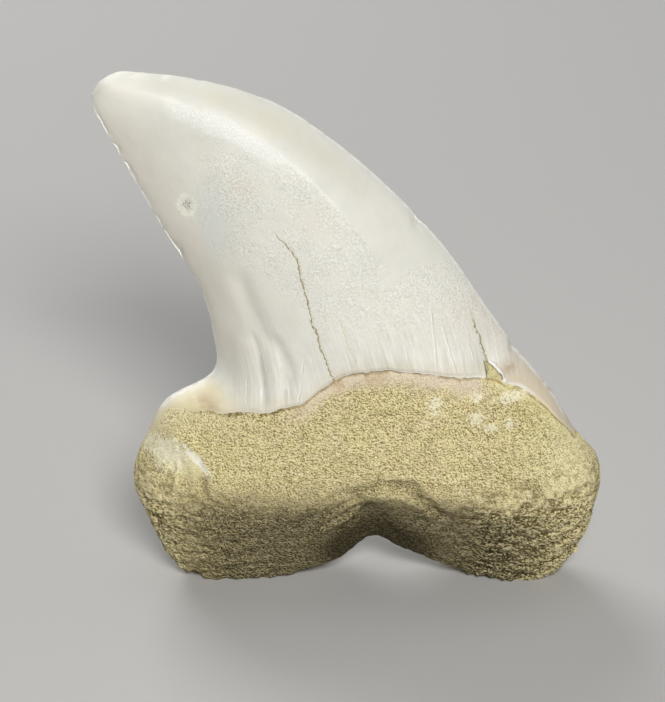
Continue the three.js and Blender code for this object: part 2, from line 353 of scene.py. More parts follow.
def ledge(p, inner):
    """The step down from the enamel to the root, fading with the height below the edge and
    towards the heels."""
    share = (p[..., 0] - ENAMEL_FROM) / (ENAMEL_TO - ENAMEL_FROM)
    heels = smooth(share * LEDGE_LEFT_FADE) * smooth((1 - share) * LEDGE_RIGHT_FADE)
    below = np.maximum(enamel_edge(p[..., 0], inner) - p[..., 2], 0)
    return -LEDGE * heels * np.exp(-below / LEDGE_REACH)


def arch_folds(p):
    """The folds that gather round the groove over the arch, on a place bent by noise."""
    bent = p + 0.4 * noise(p, 1.3, 11)[..., None] + 0.28 * noise(p, 0.6, 15)[..., None]
    return sum(fold(bent, *line) for line in ARCH_FOLDS)


def inner_root_relief(p):
    """The groove over the arch, its folds, the scar on the left shoulder and the lobes."""
    return (
        arch_folds(p)
        + swelling(p, *GROOVE)
        + fold(p, *SCAR_FOLD)
        + fold(p, *SCAR_HOLLOW)
        + swelling(p, *INNER_LEFT_LOBE)
        + swelling(p, *INNER_RIGHT_LOBE)
    )


def inner_crown_relief(p):
    """The crest, the folds at the crown's base, the pit and the chip in the enamel's edge."""
    bent = p + 0.25 * noise(p, 2.2, 12)[..., None]
    return (
        sum(fold(bent, *line) for line in CROWN_FOLDS)
        + fold(p, *HIGH_CREST)
        + fold(p, *LOW_CREST)
        + swelling(p, *PIT_HOLLOW)
        + swelling(p, *CHIP_HOLLOW)
    )


def outer_root_relief(p):
    """The outer root's shallow middle and its lobes."""
    return (
        swelling(p, *OUTER_GROOVE)
        + swelling(p, *OUTER_LEFT_LOBE)
        + swelling(p, *OUTER_RIGHT_LOBE)
    )


def outer_crown_relief(p):
    """The hollow at the base of the outer face."""
    return swelling(p, *OUTER_BASE)


def folded(p, size, seed):
    """Noise folded at its middle value, which gives round tops and sharp creases: a fixed height
    less the noise without its sign, from about -0.6 to 0.4."""
    return 0.42 - np.abs(noise(p, size, seed))


def root_grain(p, rim):
    """The root's grain, from folded noise: knobs of about 1 and 0.5 mm on the lobes, shallower by
    their edges, and finer ones between, with soft lumps below them. Low down the pattern is drawn
    out from front to back. Gives the grain on its own, high on the tops and low in the creases,
    and the whole relief in millimetres."""
    low = smooth((13.0 - p[..., 2]) / 7)
    drawn = p.copy()
    drawn[..., 1] *= 1 - 0.5 * low
    bent = drawn + 0.3 * np.stack([noise(drawn, 1.2, seed) for seed in (7, 8, 9)], axis=-1)
    knobs = folded(bent, (1.15, 1.1, 0.7), 1)
    small = folded(bent, (0.6, 0.6, 0.42), 14)
    between = folded(drawn, 0.8, 2) + noise(drawn, 0.45, 3) * 0.4
    lobes = smooth((np.abs(p[..., 0] - 1) - 5) / 12) * smooth((18 - p[..., 2]) / 5)
    grain = between + (0.6 * knobs + 0.4 * small - between) * lobes
    lumps = noise(drawn, 3.4, 5) * 0.12 + noise(drawn, 1.9, 6) * 0.10
    depth = 0.12 + (0.25 + 0.85 * smooth(rim / 5)) * lobes
    return grain, depth * grain + (0.6 + 0.3 * lobes) * lumps


def edge_wear(p, rim):
    """How far the cutting edges are worn back: shallow scallops about 1 mm apart, deepest on the
    hollow edge, fading within half a millimetre of the edge. The tip is smooth."""
    scallops = smooth(noise(p, 0.95, 21) * 0.9 + 0.35) * 0.75 + smooth(noise(p, 0.5, 22)) * 0.25
    hollow_side = smooth((p[..., 2] - 35) / 6) * smooth((-p[..., 0] - 14) / 4)
    back_side = smooth((p[..., 2] - 46) / 5)
    from_tip = np.hypot(p[..., 0] - SECTIONS[-1, 0], p[..., 2] - SECTIONS[-1, 1])
    depth = (0.04 + 0.16 * hollow_side + 0.05 * back_side) * smooth((from_tip - 1.5) / 3)
    return -scallops * depth * np.exp(-(rim / 0.55) ** 2)


# ---------------------------------------------------------------------------------------------
# The skin
# ---------------------------------------------------------------------------------------------

def column_places():
    """For each column, its place s across and whether it lies on the inner face: s is minus the
    cosine of an angle that runs slower in the middle of each face, where s would else hurry."""
    column = np.arange(ROOT_COLUMNS)
    angle = column / (ROOT_COLUMNS / 2) * math.pi
    angle = angle + COLUMN_EVENING * np.sin(2 * angle)
    return -np.cos(angle), column <= ROOT_COLUMNS // 2


def ring_heights(line):
    """Heights t of all rings: the root's crowd towards the seam, two lie along the enamel's
    edge, and the crown's run evenly to the tip, which has none."""
    root = np.arange(ROOT_RINGS + 1) / ROOT_RINGS
    crown = np.arange(CROWN_RINGS) / CROWN_RINGS
    start = line + FIRST_CROWN_STEP
    below = line * root[:, None] ** SEAM_CROWDING
    above = start + (1 - start) * crown[:, None]
    return np.concatenate([below, above])


def outward(points):
    """Unit normals of the closed rings, from the differences between neighbouring points."""
    across = np.roll(points, -1, axis=1) - np.roll(points, 1, axis=1)
    up = np.empty_like(points)
    up[1:-1] = points[2:] - points[:-2]
    up[-1] = points[-1] - points[-2]
    mirrored = np.roll(points[1, ::-1], 1, axis=0)
    up[0] = points[1] - mirrored
    normal = np.cross(across, up)
    seam_run = np.roll(points[0], -1, axis=0) - points[0]
    normal[0] = np.stack([seam_run[:, 2], np.zeros(len(seam_run)), -seam_run[:, 0]], axis=-1)
    normal[0] *= np.where(normal[0, :, 2:] > 0, -1, 1)
    return normal / np.maximum(np.linalg.norm(normal, axis=-1, keepdims=True), 1e-9)


def tooth_surface_points(grain_height):
    """The skin's points on its grid of rings and columns, with what the materials need to know:
    each point is the plain form plus the relief along the plain form's own normal."""
    s, inner_column = column_places()
    heights = ring_heights(enamel_height(s, inner_column))
    s = np.broadcast_to(s, heights.shape)
    inner = np.broadcast_to(inner_column, heights.shape)
    plain = bulge(heights, s, inner)
    normal = outward(plain)

    ring = np.arange(len(heights))[:, None]
    on_enamel = np.broadcast_to(ring > ROOT_RINGS, heights.shape)
    facing = smooth(0.5 - normal[..., 1] * 0.7)
    inner_form = np.where(on_enamel, inner_crown_relief(plain),
                          inner_root_relief(plain) + ledge(plain, True))
    outer_form = np.where(on_enamel, outer_crown_relief(plain),
                          outer_root_relief(plain) + ledge(plain, False))
    seam_fade = smooth(ring / ROOT_RINGS * SEAM_FADE_OF / SEAM_FADE)
    tip_fade = smooth((len(heights) - ring) / CROWN_RINGS * TIP_FADE_OF / TIP_FADE)
    relief = seam_fade * tip_fade * (outer_form + (inner_form - outer_form) * facing)

    across, up = plain[..., 0], plain[..., 2]
    ends = spline(SECTIONS, heights)
    rim = np.linalg.norm(ends[..., 2:4] - ends[..., 0:2], axis=-1) / 2 * (1 - np.abs(s))
    edge_height = up - enamel_edge(across, facing > 0.5)
    below = np.maximum(-edge_height, 0)
    grain, grain_relief = root_grain(plain, rim)
    grain_relief = grain_height * grain_relief * (0.15 + 0.85 * smooth(below / 3))
    nicks = sum(swelling(plain, x, z, size * 0.6, size, -depth) for x, z, size, depth in NICKS)
    relief = relief + np.where(on_enamel, tip_fade * (edge_wear(plain, rim) + nicks), grain_relief)

    crest_up = spline(CREST, (across - CREST_SPAN[0]) / (CREST_SPAN[1] - CREST_SPAN[0]))
    over_base = np.maximum(up - LANE_BASE, 0)
    points = plain + relief[..., None] * normal
    fields = {
        "edge_height": edge_height,
        "inner_face": facing,
        "lane": across + LANE_SLOPE * over_base + LANE_BEND * over_base ** 2,
        "rim": rim,
        "grain": grain,
        "folds": arch_folds(plain),
        "crest": up - crest_up,
    }
    for name, places, span, _, _ in CRACKS:
        fields[name] = across - crack_path(up, places, span)
    return points, fields


def crack_path(up, places, span):
    """Where a crack lies across at each height: a spline through its places at equal steps."""
    return spline(places, (up - span[0]) / (span[1] - span[0]))


def standing(points):
    """Turns points of the blade's own frame into metres in the shared frame: leant back, placed
    over the origin, and worn flat where they would reach below the ground."""
    across, out, up = np.moveaxis(points, -1, 0)
    stood = np.stack([
        across,
        out * math.cos(LEAN) + up * math.sin(LEAN),
        up * math.cos(LEAN) - out * math.sin(LEAN),
    ], axis=-1) + PLACE
    stood[..., 2] = np.maximum(stood[..., 2], 0)
    return stood * MM


def quads(lower, upper):
    """Faces between two closed rings of point numbers, or between many at once."""
    return np.stack([lower, np.roll(lower, -1, axis=-1), np.roll(upper, -1, axis=-1), upper],
                    axis=-1).reshape(-1, 4)


def skin_faces(rows):
    """The root's quads, the crown's quads and the triangles of the skin, over its point numbers.
    The crown takes every second column, one ring of triangles joins the two, and a fan closes
    the tip."""
    root_rows = rows[:ROOT_RINGS + 2]
    crown_rows = rows[ROOT_RINGS + 2:, ::2]
    root_quads = quads(root_rows[:-1], root_rows[1:])
    crown_quads = quads(crown_rows[:-1], crown_rows[1:])

    last = root_rows[-1]
    first = crown_rows[0]
    start, middle, end = last[0::2], last[1::2], np.roll(last[0::2], -1)
    after = np.roll(first, -1)
    tip = np.full(len(first), rows.max() + 1)
    triangles = np.concatenate([
        np.stack([start, middle, first], axis=-1),
        np.stack([middle, after, first], axis=-1),
        np.stack([middle, end, after], axis=-1),
        np.stack([crown_rows[-1], np.roll(crown_rows[-1], -1), tip], axis=-1),
    ])
    return root_quads, crown_quads, triangles


def build_tooth_mesh(settings):
    """The tooth's mesh. Under the root the inner and outer columns share the seam's points, so
    the numbers of the outer ones are folded onto the inner ones."""
    points, fields = tooth_surface_points(settings.grain_height)
    ring_count = len(points)
    numbers = np.arange(ring_count * ROOT_COLUMNS).reshape(ring_count, ROOT_COLUMNS)
    half = ROOT_COLUMNS // 2
    numbers[0, half + 1:] = numbers[0, 1:half][::-1]

    tip = bulge(np.array([1.0]), np.array([0.0]), np.array([True]))
    places = standing(np.concatenate([points.reshape(-1, 3), tip]))
    root_quads, crown_quads, triangles = skin_faces(numbers)

    corners = np.concatenate([root_quads.ravel(), crown_quads.ravel(), triangles.ravel()])
    used, corners = np.unique(corners, return_inverse=True)
    sizes = np.concatenate([np.full(len(root_quads) + len(crown_quads), 4),
                            np.full(len(triangles), 3)])
    starts = np.concatenate([[0], np.cumsum(sizes)[:-1]])

    mesh = bpy.data.meshes.new("tooth_surface")
    mesh.vertices.add(len(used))
    mesh.loops.add(len(corners))
    mesh.polygons.add(len(sizes))
    mesh.vertices.foreach_set("co", places[used].astype(np.float32).ravel())
    mesh.loops.foreach_set("vertex_index", corners.astype(np.int32).ravel())
    mesh.polygons.foreach_set("loop_start", starts.astype(np.int32))
    mesh.polygons.foreach_set("loop_total", sizes.astype(np.int32))
    mesh.update(calc_edges=True)

    enamel = np.zeros(len(sizes), dtype=np.int32)
    enamel[ROOT_RINGS * ROOT_COLUMNS:] = 1
    mesh.polygons.foreach_set("material_index", enamel)
    mesh.polygons.foreach_set("use_smooth", np.ones(len(sizes), dtype=bool))
    for name, values in fields.items():
        column = np.append(values.ravel(), values.ravel()[-1])[used].astype(np.float32)
        mesh.attributes.new(name, "FLOAT", "POINT").data.foreach_set("value", column)
    mesh.validate()
    return mesh


# ---------------------------------------------------------------------------------------------
# Materials
# ---------------------------------------------------------------------------------------------

# Marks on the blade, each as its place (across, up) and how far it reaches across and up.
PALE_TIP = ((-26.0, 55.0), (7.0, 5.0))
DULL_TIP = ((-26.0, 56.0), (7.0, 5.0))
COOL_PATCH = ((-14.4, 42.5), (2.8, 7.0))
WARM_PATCH = ((-11.4, 46.6), (2.6, 2.4))
LEFT_FOLDS = ((-9.2, 25.5), (5.5, 9.0))
RIGHT_FIBRES = ((6.5, 26.0), (12.0, 8.0))
LEFT_SMUDGE = ((-15.7, 22.0), (2.6, 1.1))
RIGHT_SMUDGE = ((16.7, 25.7), (1.5, 1.2))
LEFT_OLIVE = ((-18.0, 18.5), (8.0, 5.0))
RIGHT_OLIVE = ((20.5, 20.0), (7.0, 7.5))
REDDISH_BAND = ((1.0, 24.0), (16.0, 8.0))
SCAR_FACET = ((-17.8, 16.0), (3.6, 2.8))
SCAR_PATCH = ((-19.8, 16.7), (4.2, 2.9))
SCAR_RIDGE = ((-16.6, 16.8), (3.2, 3.2))
PALE_SHOULDER = ((23.0, 15.5), (6.5, 7.5))
CALM_SHOULDER = ((24.0, 15.5), (5.0, 6.5))
# Where the painted shade under the root is darkest, in the arch.
ARCH_SHADE = ((2.6, 4.5), (10.0, 6.5))
RUBBED_SPOTS = (
    ((13.3, 23.4), (1.2, 1.0)), ((13.3, 21.3), (1.4, 1.4)), ((14.8, 20.3), (1.2, 0.9)),
    ((16.7, 20.5), (1.0, 1.3)), ((17.2, 22.8), (3.4, 0.9)), ((8.8, 23.0), (1.4, 1.6)),
)

# The painted grain's sizes: how each is drawn out across, out and up, and its scale.
GRAIN_SIZES = (
    ((0.95, 1.0, 1.05), 5.8),  # fine, on the upper root
    ((0.75, 0.8, 1.15), 4.6),  # drawn out level, low in the middle
    ((0.85, 0.9, 1.1), 3.1),  # coarse, on the lobes
)
CRUST_SCALE = 4.8

WORN_ROUGHNESS = 0.7
ENAMEL_IOR = 1.5
ENAMEL_COAT = 0.08
ENAMEL_COAT_ROUGHNESS = 0.3
DUSTY_ROUGHNESS = 0.9
ROOT_IOR = 1.45
DUSTY_SPECULAR = 0.2

FIELDS = ("edge_height", "inner_face", "lane", "rim", "grain", "folds", "crest",
          *(crack[0] for crack in CRACKS))


class Nodes:
    """Adds nodes to one node tree and joins them up, so that a material reads as a list."""

    def __init__(self, tree):
        self.tree = tree

    def add(self, kind, feeds=None, **settings):
        made = self.tree.nodes.new(kind)
        for key, value in settings.items():
            setattr(made, key, value)
        for key, value in (feeds or {}).items():
            self.feed(made.inputs[key], value)
        return made

    def feed(self, socket, value):
        if isinstance(value, bpy.types.NodeSocket):
            self.tree.links.new(value, socket)
        else:
            socket.default_value = value

    def math(self, operation, a, b=0.0, c=0.0):
        return self.add("ShaderNodeMath", {0: a, 1: b, 2: c}, operation=operation).outputs[0]

    def vector(self, operation, a, b):
        return self.add("ShaderNodeVectorMath", {0: a, 1: b}, operation=operation).outputs[0]

    def product(self, *values):
        """All the values multiplied together."""
        total = values[0]
        for value in values[1:]:
            total = self.math("MULTIPLY", total, value)
        return total

    def total(self, *terms):
        """The sum of each value times its weight."""
        (value, weight), *others = terms
        total = self.math("MULTIPLY", value, weight)
        for value, weight in others:
            total = self.math("MULTIPLY_ADD", value, weight, total)
        return total

    def highest(self, *values):
        """The greatest of the values."""
        best = values[0]
        for value in values[1:]:
            best = self.math("MAXIMUM", best, value)
        return best

    def between(self, share, first, second):
        """A value that goes from the first to the second as the share goes from 0 to 1."""
        mix = self.add("ShaderNodeMix", {"Factor": share, "A": first, "B": second})
        return mix.outputs["Result"]

    def blend(self, share, first, second):
        """A colour that goes from the first to the second as the share goes from 0 to 1."""
        mix = self.add("ShaderNodeMix", {"Factor": share, "A": first, "B": second},
                       data_type="RGBA")
        return mix.outputs["Result"]

    def noise(self, place, scale, detail=2.0, roughness=0.5):
        made = self.add("ShaderNodeTexNoise", {
            "Vector": place, "Scale": scale, "Detail": detail, "Roughness": roughness,
        })
        return made.outputs["Fac"]

    def wobble(self, place, scale, detail=2.0, roughness=0.5):
        """Noise less its middle value, so from -0.5 to 0.5."""
        return self.math("SUBTRACT", self.noise(place, scale, detail, roughness), 0.5)

    def step(self, value, low, high):
        """0 below low and 1 above high, with a smooth rise between, or a fall if high is less."""
        made = self.add("ShaderNodeMapRange", {
            "Value": value, "From Min": low, "From Max": high, "To Min": 0.0, "To Max": 1.0,
        }, interpolation_type="SMOOTHSTEP")
        return made.outputs[0]

    def ragged_step(self, value, noise, weight, low, high):
        """A step in the value plus a share of noise, so that its edge wanders."""
        return self.step(self.math("MULTIPLY_ADD", noise, weight, value), low, high)

    def line(self, value, level, half_width):
        """1 where a value is at a level, falling smoothly to 0 a half width away from it."""
        apart = self.math("ABSOLUTE", self.math("SUBTRACT", value, level))
        return self.step(apart, half_width, half_width * 0.2)

    def near(self, at, mark):
        """1 at a mark's place on the blade, falling smoothly to 0 at its reach."""
        place, reach = mark
        x = self.math("DIVIDE", self.math("SUBTRACT", at.across, place[0]), reach[0])
        z = self.math("DIVIDE", self.math("SUBTRACT", at.up, place[1]), reach[1])
        square = self.math("ADD", self.math("MULTIPLY", x, x), self.math("MULTIPLY", z, z))
        return self.step(self.math("SQRT", square), 1.0, 0.0)


class Finish:
    """A surface's colour and height in millimetres, built up in layers."""

    def __init__(self, nodes, colour):
        self.nodes = nodes
        self.colour = colour
        self.heights = []

    def tint(self, paint, share, *masks):
        self.colour = self.nodes.blend(self.nodes.product(share, *masks), self.colour,
                                       (*paint, 1.0))

    def raise_by(self, millimetres, *masks):
        self.heights.append((self.nodes.product(*masks), millimetres))

    def feed(self, shader):
        height = self.nodes.total(*self.heights)
        bump = self.nodes.add("ShaderNodeBump", {"Height": height, "Distance": MM, "Strength": 1.0})
        self.nodes.feed(shader.inputs["Base Color"], self.colour)
        self.nodes.feed(shader.inputs["Normal"], bump.outputs[0])


def new_group(name, inputs, outputs):
    """An empty shader node group with named inputs (kind, name, default) and outputs."""
    tree = bpy.data.node_groups.new(name, "ShaderNodeTree")
    for kind, label, default in inputs:
        socket = tree.interface.new_socket(label, in_out="INPUT", socket_type=kind)
        if default is not None:
            socket.default_value = default
    for kind, label in outputs:
        tree.interface.new_socket(label, in_out="OUTPUT", socket_type=kind)
    nodes = Nodes(tree)
    return nodes, nodes.add("NodeGroupInput"), nodes.add("NodeGroupOutput")


def blade_place_group():
    """Object coordinates turned into the blade's own frame, in millimetres."""
    nodes, _, out = new_group("blade place", [], [
        ("NodeSocketVector", "Place"), ("NodeSocketFloat", "Across"), ("NodeSocketFloat", "Up"),
    ])
    coordinates = nodes.add("ShaderNodeTexCoord")
    turned = nodes.add("ShaderNodeMapping", {
        "Vector": coordinates.outputs["Object"],
        "Location": tuple(PLACE * MM),
        "Rotation": (-LEAN, 0.0, 0.0),
        "Scale": (MM, MM, MM),
    }, vector_type="TEXTURE").outputs[0]
    apart = nodes.add("ShaderNodeSeparateXYZ", {"Vector": turned})
    nodes.feed(out.inputs["Place"], turned)
    nodes.feed(out.inputs["Across"], apart.outputs["X"])
    nodes.feed(out.inputs["Up"], apart.outputs["Z"])
    return nodes.tree


def mottle_group():
    """A colour that clouds over softly into a second one."""
    nodes, given, out = new_group("mottle", [
        ("NodeSocketVector", "Place", None),
        ("NodeSocketColor", "Plain", (0.8, 0.8, 0.8, 1.0)),
        ("NodeSocketColor", "Clouded", (0.6, 0.6, 0.6, 1.0)),
        ("NodeSocketFloat", "Scale", 0.3),
        ("NodeSocketFloat", "Amount", 0.6),
    ], [("NodeSocketColor", "Color")])
    clouds = nodes.noise(given.outputs["Place"], given.outputs["Scale"], detail=4.0, roughness=0.6)
    mask = nodes.product(nodes.step(clouds, 0.38, 0.66), given.outputs["Amount"])
    mixed = nodes.blend(mask, given.outputs["Plain"], given.outputs["Clouded"])
    nodes.feed(out.inputs["Color"], mixed)
    return nodes.tree


def lit_grain_group():
    """Grains painted as if lit from above: earth and painted shade in the creases and below each
    grain, and a painted highlight on their tops. The height is the slope of one noise (its value
    here less its value a little higher up), which makes each grain's lower side dark and its upper
    side light, plus the distance of another from its middle value, so that it creases wherever that
    noise passes through it, plus a coarser noise for clouds. The crease mask, for the painted
    shade, is 1 where it is low and the top mask, for the painted highlight, where it is high."""
    nodes, given, out = new_group("grain", [
        ("NodeSocketVector", "Place", None),
        ("NodeSocketFloat", "Scale", 3.0),
    ], [("NodeSocketFloat", "Height"), ("NodeSocketFloat", "Crease"), ("NodeSocketFloat", "Top")])
    place = nodes.add("ShaderNodeVectorMath", {
        0: given.outputs["Place"], "Scale": given.outputs["Scale"],
    }, operation="SCALE").outputs[0]
    higher_up = nodes.vector("ADD", place, (0.14, 0.0, 0.29))

    def layer(where, scale, detail):
        return nodes.wobble(where, scale, detail, 0.6)

    folded = nodes.math("SUBTRACT", nodes.math("ABSOLUTE", layer(place, 1.1, 0.0)), 0.1)
    height = nodes.total((layer(place, 0.85, 2.0), 1.4), (layer(higher_up, 0.85, 2.0), -1.0),
                         (folded, 1.0), (layer(place, 0.33, 1.0), 0.2))
    nodes.feed(out.inputs["Height"], height)
    nodes.feed(out.inputs["Crease"], nodes.step(height, -0.04, -0.09))
    nodes.feed(out.inputs["Top"], nodes.step(height, 0.02, 0.08))
    return nodes.tree


def new_material(name):
    material = bpy.data.materials.new(name)
    material.use_nodes = True
    material.node_tree.nodes.clear()
    nodes = Nodes(material.node_tree)
    shader = nodes.add("ShaderNodeBsdfPrincipled")
    output = nodes.add("ShaderNodeOutputMaterial")
    nodes.feed(output.inputs["Surface"], shader.outputs[0])
    return material, nodes, shader


def place_on_tooth(nodes, groups):
    """What a material asks about its place: the blade's own coordinates and the mesh's fields."""
    where = nodes.add("ShaderNodeGroup", node_tree=groups["place"]).outputs
    at = SimpleNamespace(place=where["Place"], across=where["Across"], up=where["Up"])
    for name in FIELDS:
        setattr(at, name, nodes.add("ShaderNodeAttribute", attribute_name=name).outputs["Fac"])
    at.inner = nodes.step(at.inner_face, 0.35, 0.7)
    return at


def mottled(nodes, groups, at, plain, clouded, scale):
    """A finish that starts from two clouded colours."""
    clouds = nodes.add("ShaderNodeGroup", {
        "Place": at.place, "Plain": (*plain, 1.0), "Clouded": (*clouded, 1.0), "Scale": scale,
        "Amount": 0.8,
    }, node_tree=groups["mottle"])
    return Finish(nodes, clouds.outputs["Color"])


def grains(nodes, groups, place, scale):
    """The crease, top and height of the painted grain."""
    return nodes.add("ShaderNodeGroup", {"Place": place, "Scale": scale},
                     node_tree=groups["grain"]).outputs


# Enamel

def paint_clouds(nodes, finish, at, settings):
    """The enamel's soft changes of colour: warm clouds, the pale tip, painted shade as a warm tint
    on the left margin, which faces away from the light, a bluish and a warm patch by the pit, and
    the faint band along the back edge."""
    warm = nodes.step(nodes.noise(at.place, 0.22, detail=3.0, roughness=0.55), 0.5, 0.72)
    left_margin_shade = nodes.product(nodes.step(at.rim, 7.0, 1.5), nodes.step(at.crest, -2.0, -5.0),
                                nodes.step(at.up, 24.0, 30.0))
    back_band = nodes.product(nodes.line(at.rim, 2.0, 1.8), nodes.step(at.crest, 0.5, 1.5),
                              nodes.step(at.up, 42.0, 50.0))
    finish.tint(settings.warm_colour, 0.35, warm)
    finish.tint(settings.tip_colour, 0.8, nodes.near(at, PALE_TIP))
    # Painted shade on the left margin.
    finish.tint(settings.warm_colour, 0.5, left_margin_shade)
    finish.tint(settings.cool_colour, 0.6, nodes.near(at, COOL_PATCH), at.inner)
    finish.tint(settings.warm_colour, 0.5, nodes.near(at, WARM_PATCH), at.inner)
    finish.tint(settings.band_colour, 0.5, back_band)


def paint_hairlines(nodes, finish, at, settings):
    """Hair-thin pale lines at the crown's base, each with a dark one along its right."""
    waver = nodes.wobble(at.place, 1.2)
    for (start, top), (end, bottom) in HAIRLINES:
        slope = (end - start) / (bottom - top)
        aside = nodes.total((at.across, 1.0), (at.up, -slope), (waver, 0.35))
        level = start - slope * top
        span = nodes.product(nodes.step(at.up, top + 0.3, top - 1.0),
                             nodes.step(at.up, bottom - 0.4, bottom + 0.2), at.inner)
        finish.tint(settings.streak_and_shade_colour, 0.45, nodes.line(aside, level + 0.14, 0.14), span)
        finish.tint(settings.pale_and_highlight_colour, 0.95, nodes.line(aside, level, 0.1), span)


def paint_striae(nodes, finish, at, settings):
    """Lines along the blade at the crown's base: soft streaks, fine dark and pale threads in
    places, denser fibres on the right, the hairlines, and painted shade in the hollows of the
    folds."""
    fibres = nodes.add("ShaderNodeCombineXYZ", {
        "X": at.lane, "Y": nodes.product(at.up, 0.07),
    }).outputs[0]
    low_crown = nodes.product(nodes.step(at.edge_height, 13.0, 0.5),
                              nodes.step(at.across, -14.5, -11.5))
    streaks = nodes.noise(fibres, 2.6, detail=2.0, roughness=0.6)
    threads = nodes.noise(fibres, 0.85, detail=2.0, roughness=0.5)
    parts = nodes.step(nodes.noise(at.place, 0.4, detail=2.0), 0.42, 0.6)
    finish.tint(settings.streak_and_shade_colour, 0.16, nodes.step(streaks, 0.5, 0.3), low_crown)
    finish.tint(settings.streak_and_shade_colour, 0.4, nodes.line(threads, 0.47, 0.012), low_crown, parts)
    finish.tint(settings.pale_and_highlight_colour, 0.75, nodes.line(threads, 0.55, 0.009), low_crown, parts)

    right_base = nodes.product(nodes.near(at, RIGHT_FIBRES), at.inner)
    hairs = nodes.noise(fibres, 2.9, detail=2.0, roughness=0.6)
    finish.tint(settings.streak_and_shade_colour, 0.45, nodes.step(hairs, 0.46, 0.36), right_base)
    finish.tint(settings.pale_and_highlight_colour, 0.7, nodes.step(hairs, 0.54, 0.64), right_base)
    paint_hairlines(nodes, finish, at, settings)

    folded = nodes.product(nodes.near(at, LEFT_FOLDS), at.inner)
    # Painted shade in the hollows of the folds.
    finish.tint(settings.streak_and_shade_colour, 0.2, nodes.step(threads, 0.5, 0.36), folded)
    finish.raise_by(0.08, nodes.math("SUBTRACT", streaks, 0.5), low_crown)
    finish.raise_by(0.2, nodes.math("SUBTRACT", threads, 0.5), folded)


def paint_wear_and_crest_highlight(nodes, finish, at, settings):
    """Rubbed enamel: a granular crest, painted pale as a highlight along it, and the finely pitted
    field below it. Gives how dull each place is."""
    edge_noise = nodes.noise(at.place, 0.35, detail=3.0, roughness=0.6)
    field = nodes.product(nodes.step(at.crest, 0.5, -0.3),
                          nodes.ragged_step(at.crest, edge_noise, 9.0, -13.0, -6.0), at.inner,
                          nodes.step(at.across, -18.0, -13.0), nodes.step(edge_noise, 0.3, 0.55),
                          nodes.step(at.edge_height, 0.5, 8.0))
    ragged_crest = nodes.math("MULTIPLY_ADD", edge_noise, 2.0, at.crest)
    broad_crest_highlight = nodes.product(nodes.line(ragged_crest, 0.3, 1.5),
                                nodes.step(at.across, -20.5, -17.0),
                                nodes.step(at.across, -5.0, -11.0))
    thin_crest_highlight = nodes.product(nodes.line(at.crest, 0.1, 0.35),
                               nodes.step(at.across, -12.5, -9.5),
                               nodes.step(at.across, 0.0, -4.0))
    crest = nodes.product(nodes.highest(broad_crest_highlight, thin_crest_highlight), at.inner)
    # The worn field and the crest, which is also painted as a highlight.
    worn = nodes.highest(nodes.product(field, 0.8), crest)
    specks = nodes.noise(at.place, 4.6, detail=2.0, roughness=0.75)
    finish.tint(settings.streak_and_shade_colour, 0.5, nodes.step(specks, 0.47, 0.37), worn)
    finish.tint(settings.pale_and_highlight_colour, 0.85, nodes.step(specks, 0.53, 0.62), worn)
    # Painted highlight along the crest.
    finish.tint(settings.pale_and_highlight_colour, 0.65, crest)
    finish.raise_by(0.13, nodes.math("SUBTRACT", specks, 0.5), nodes.math("ADD", worn, 0.06))
    return worn


def paint_stains(nodes, finish, at, settings, groups):
    """Stains from the root: a faint band along the enamel's edge, both heels, the root's crust
    grown over the left one, and brownish smudges. Gives the band."""
    cloud = nodes.noise(at.place, 0.55, detail=3.0, roughness=0.6)
    band = nodes.ragged_step(at.edge_height, cloud, -2.6, 0.6, -1.1)
    left_heel = nodes.product(nodes.ragged_step(at.edge_height, cloud, -3.0, 1.8, -1.0),
                              nodes.step(at.across, -11.0, -16.0))
    right_heel = nodes.product(nodes.step(at.across, 14.8, 17.5), nodes.step(at.up, 28.5, 24.0))
    grown_over = nodes.product(nodes.ragged_step(at.up, cloud, 1.5, 22.0, 21.5),
                               nodes.step(at.across, -15.5, -17.0),
                               nodes.step(at.rim, 0.35, 0.8), at.inner)
    finish.tint(settings.stain_colour, 0.4, band)
    finish.tint(settings.heel_colour, 0.9, left_heel)
    finish.tint(settings.strip_colour, 0.75, right_heel)
    finish.tint(settings.heel_colour, 0.9, grown_over)
    # The crust's grain has the same painted shade in its creases and painted highlight on its tops
    # as the root's.
    crust = grains(nodes, groups, at.place, CRUST_SCALE)
    finish.tint(settings.earth_and_shade_colour, 0.6, crust["Crease"], grown_over)
    finish.tint(settings.grain_and_highlight_colour, 0.5, crust["Top"], grown_over)
    finish.tint(settings.smudge_colour, 0.6, nodes.near(at, LEFT_SMUDGE),
                nodes.step(cloud, 0.4, 0.6))
    finish.tint(settings.smudge_colour, 0.7, nodes.near(at, RIGHT_SMUDGE),
                nodes.step(cloud, 0.35, 0.6))
    return band


def paint_rim_highlights(nodes, finish, at, settings):
    """Bright rims along the cutting edges and along the right of the enamel's lower edge, broken
    into patches: partly the enamel's own pale, translucent rim and partly a painted highlight.
    """
    rim_patches = nodes.step(nodes.noise(at.place, 1.2, detail=2.0), 0.3, 0.55)
    finish.tint(settings.pale_and_highlight_colour, 0.8, nodes.step(at.rim, 0.30, 0.08), rim_patches,
                nodes.step(at.up, 56.0, 53.0), nodes.step(at.up, 18.5, 21.0))
    finish.tint(settings.pale_and_highlight_colour, 0.55, nodes.step(at.edge_height, 0.26, 0.1),
                nodes.step(at.across, -3.0, 3.0), nodes.step(at.across, 21.0, 18.0), rim_patches)


